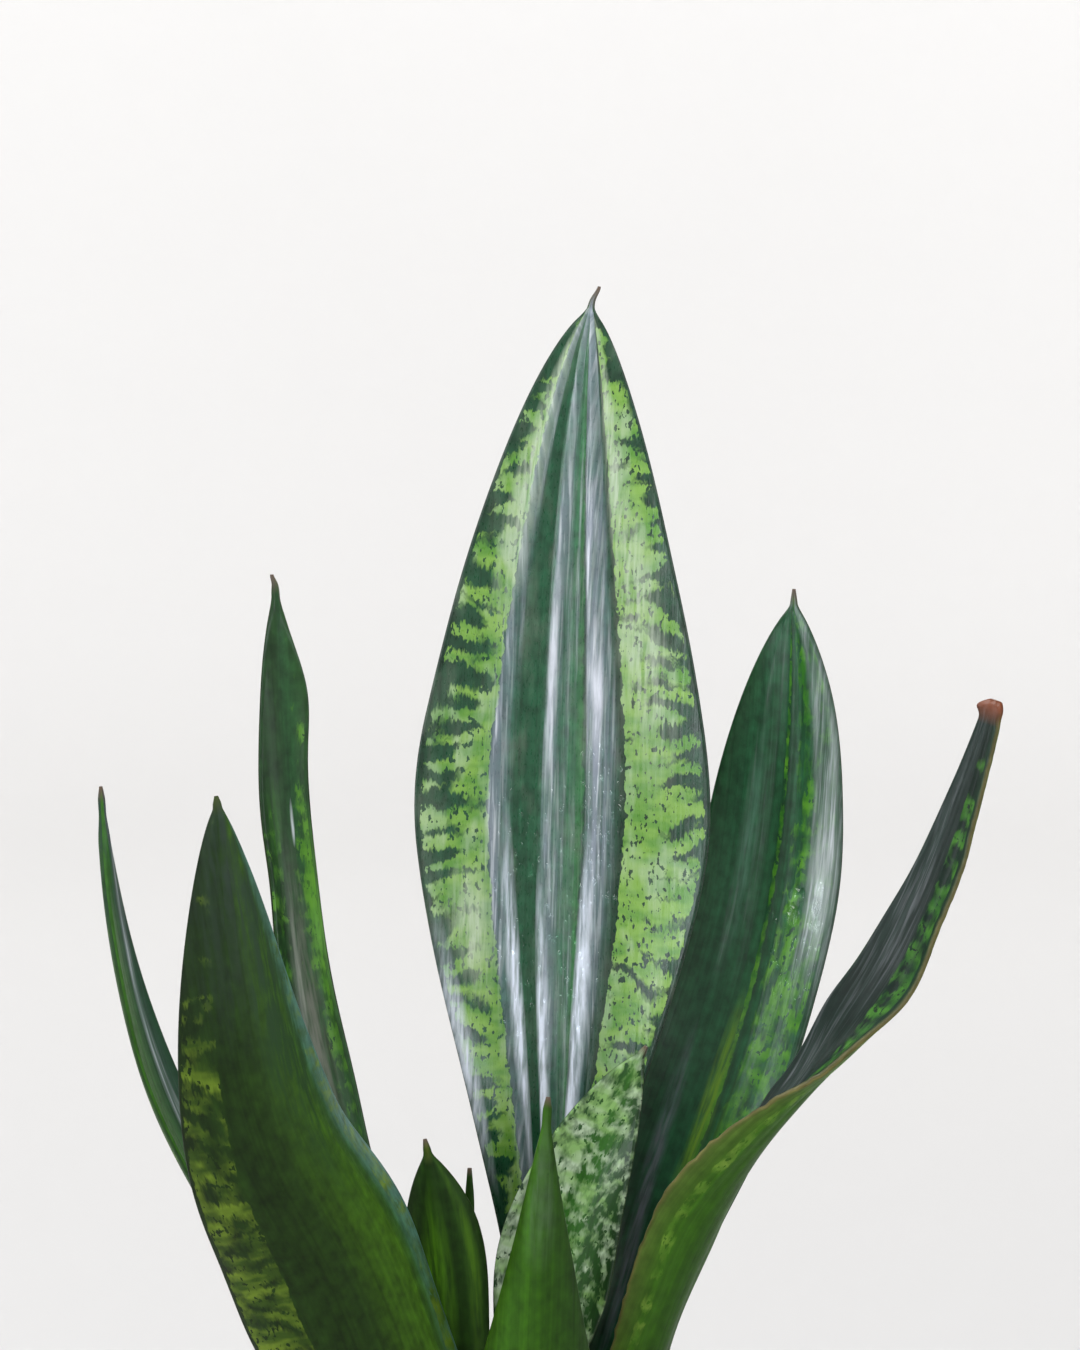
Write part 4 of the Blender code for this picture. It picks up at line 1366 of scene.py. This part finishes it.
# %% Scatter the crumbs
random.seed(7)
for name, kind in CRUMBS.items():
    shape, corners = rough_stone()
    points, faces, tones = [], [], []
    placed = 0
    while placed < kind.count:
        size = random.uniform(kind.smallest, kind.largest) / 2 * MM
        angle = random.uniform(0, 2 * math.pi)
        reach = math.sqrt(random.random()) * (mix_high - 2 * size)
        x, y = reach * math.cos(angle), reach * math.sin(angle)
        centre = Vector((x, y, mix_height(x, y) + CRUMB_LIFT * size * kind.flatness))
        if near_feet.find(centre)[2] < CRUMB_REACH * size + CRUMB_GAP:
            continue
        tilt, roll, heading = random.uniform(-0.5, 0.5), random.uniform(-0.5, 0.5), random.uniform(0, 6.3)
        turn = Euler((tilt, roll, heading)).to_matrix()
        stretch = Vector((random.uniform(0.8, 1.5), random.uniform(0.6, 1), kind.flatness)) * size
        first = len(points)
        points += [centre + turn @ (co * stretch) for co in shape]
        faces += [tuple(first + i for i in face) for face in corners]
        tones += [random.random()] * len(shape)
        placed += 1
    mesh = bpy.data.meshes.new(name)
    mesh.from_pydata(points, [], faces)
    mesh.attributes.new("tone", "FLOAT", "POINT").data.foreach_set("value", tones)
    pieces = bpy.data.objects.new(name, mesh)
    bpy.context.scene.collection.objects.link(pieces)
    mesh.materials.append(crumb_material(name + "_matter", kind))
    hand_over(pieces, "potting_mix")

# %% [markdown]
# Between the crumbs the mix is dark, moist peat with fibres in it. It is nearly black and has no
# gloss, so the crumbs stand out and the feet of the leaves are lost in it.

# %% Moist peat
peat, tree, shader = new_material("moist_peat_and_fibre")
place = add(tree, "TexCoord").outputs["Object"]
lumps = add(tree, "TexNoise", {"Vector": place, "Scale": 1 / (3.5 * MM), "Detail": 6.0})
peat_colour = fill_ramp(add(tree, "ValToRGB", {"Fac": lumps}),
                        ((0.3, "17100B"), (0.5, "2A1D14"), (0.68, "49331F")))
bump = add(tree, "Bump", {"Height": lumps, "Strength": 0.9, "Distance": 1.2 * MM})
feed(tree, shader, {"Base Color": peat_colour, "Normal": bump, "Roughness": 0.95, "Specular IOR Level": 0.2})
mix.data.materials.append(peat)
hand_over(mix, "potting_mix", "potting_mix")

# %% [markdown]
# ## Rhizome
#
# The root stock is buried, so the frame's own solid stays. It still gets the skin of a real one:
# orange-brown and papery, with pale rings where old leaves sat.

# %% Skin of the rhizome
bark, tree, shader = new_material("papery_rhizome_skin")
place = add(tree, "TexCoord").outputs["Object"]
SCAR_WIDTH = 1 / 60  # m
SCAR_HEIGHT = 1 / 420
scar_scale = (1 / SCAR_WIDTH, 1 / SCAR_WIDTH, 1 / SCAR_HEIGHT)
scars = add(tree, "Mapping", {"Vector": place, "Scale": scar_scale})
scar_noise = add(tree, "TexNoise", {"Vector": scars, "Scale": 1.0, "Detail": 3.0})
skin_colour = fill_ramp(add(tree, "ValToRGB", {"Fac": scar_noise}),
                        ((0.35, "8A5A2E"), (0.52, "B37C45"), (0.6, "D9B98C"), (0.68, "A06C3A")))
bump = add(tree, "Bump", {"Height": scar_noise, "Strength": 0.6, "Distance": 0.5 * MM})
feed(tree, shader, {"Base Color": skin_colour, "Normal": bump, "Roughness": 0.65})
rhizome = frame["nodes"]["rhizome"]
for slot in rhizome.material_slots:
    slot.material = bark
print("rhizome:", len(rhizome.material_slots), "slot")
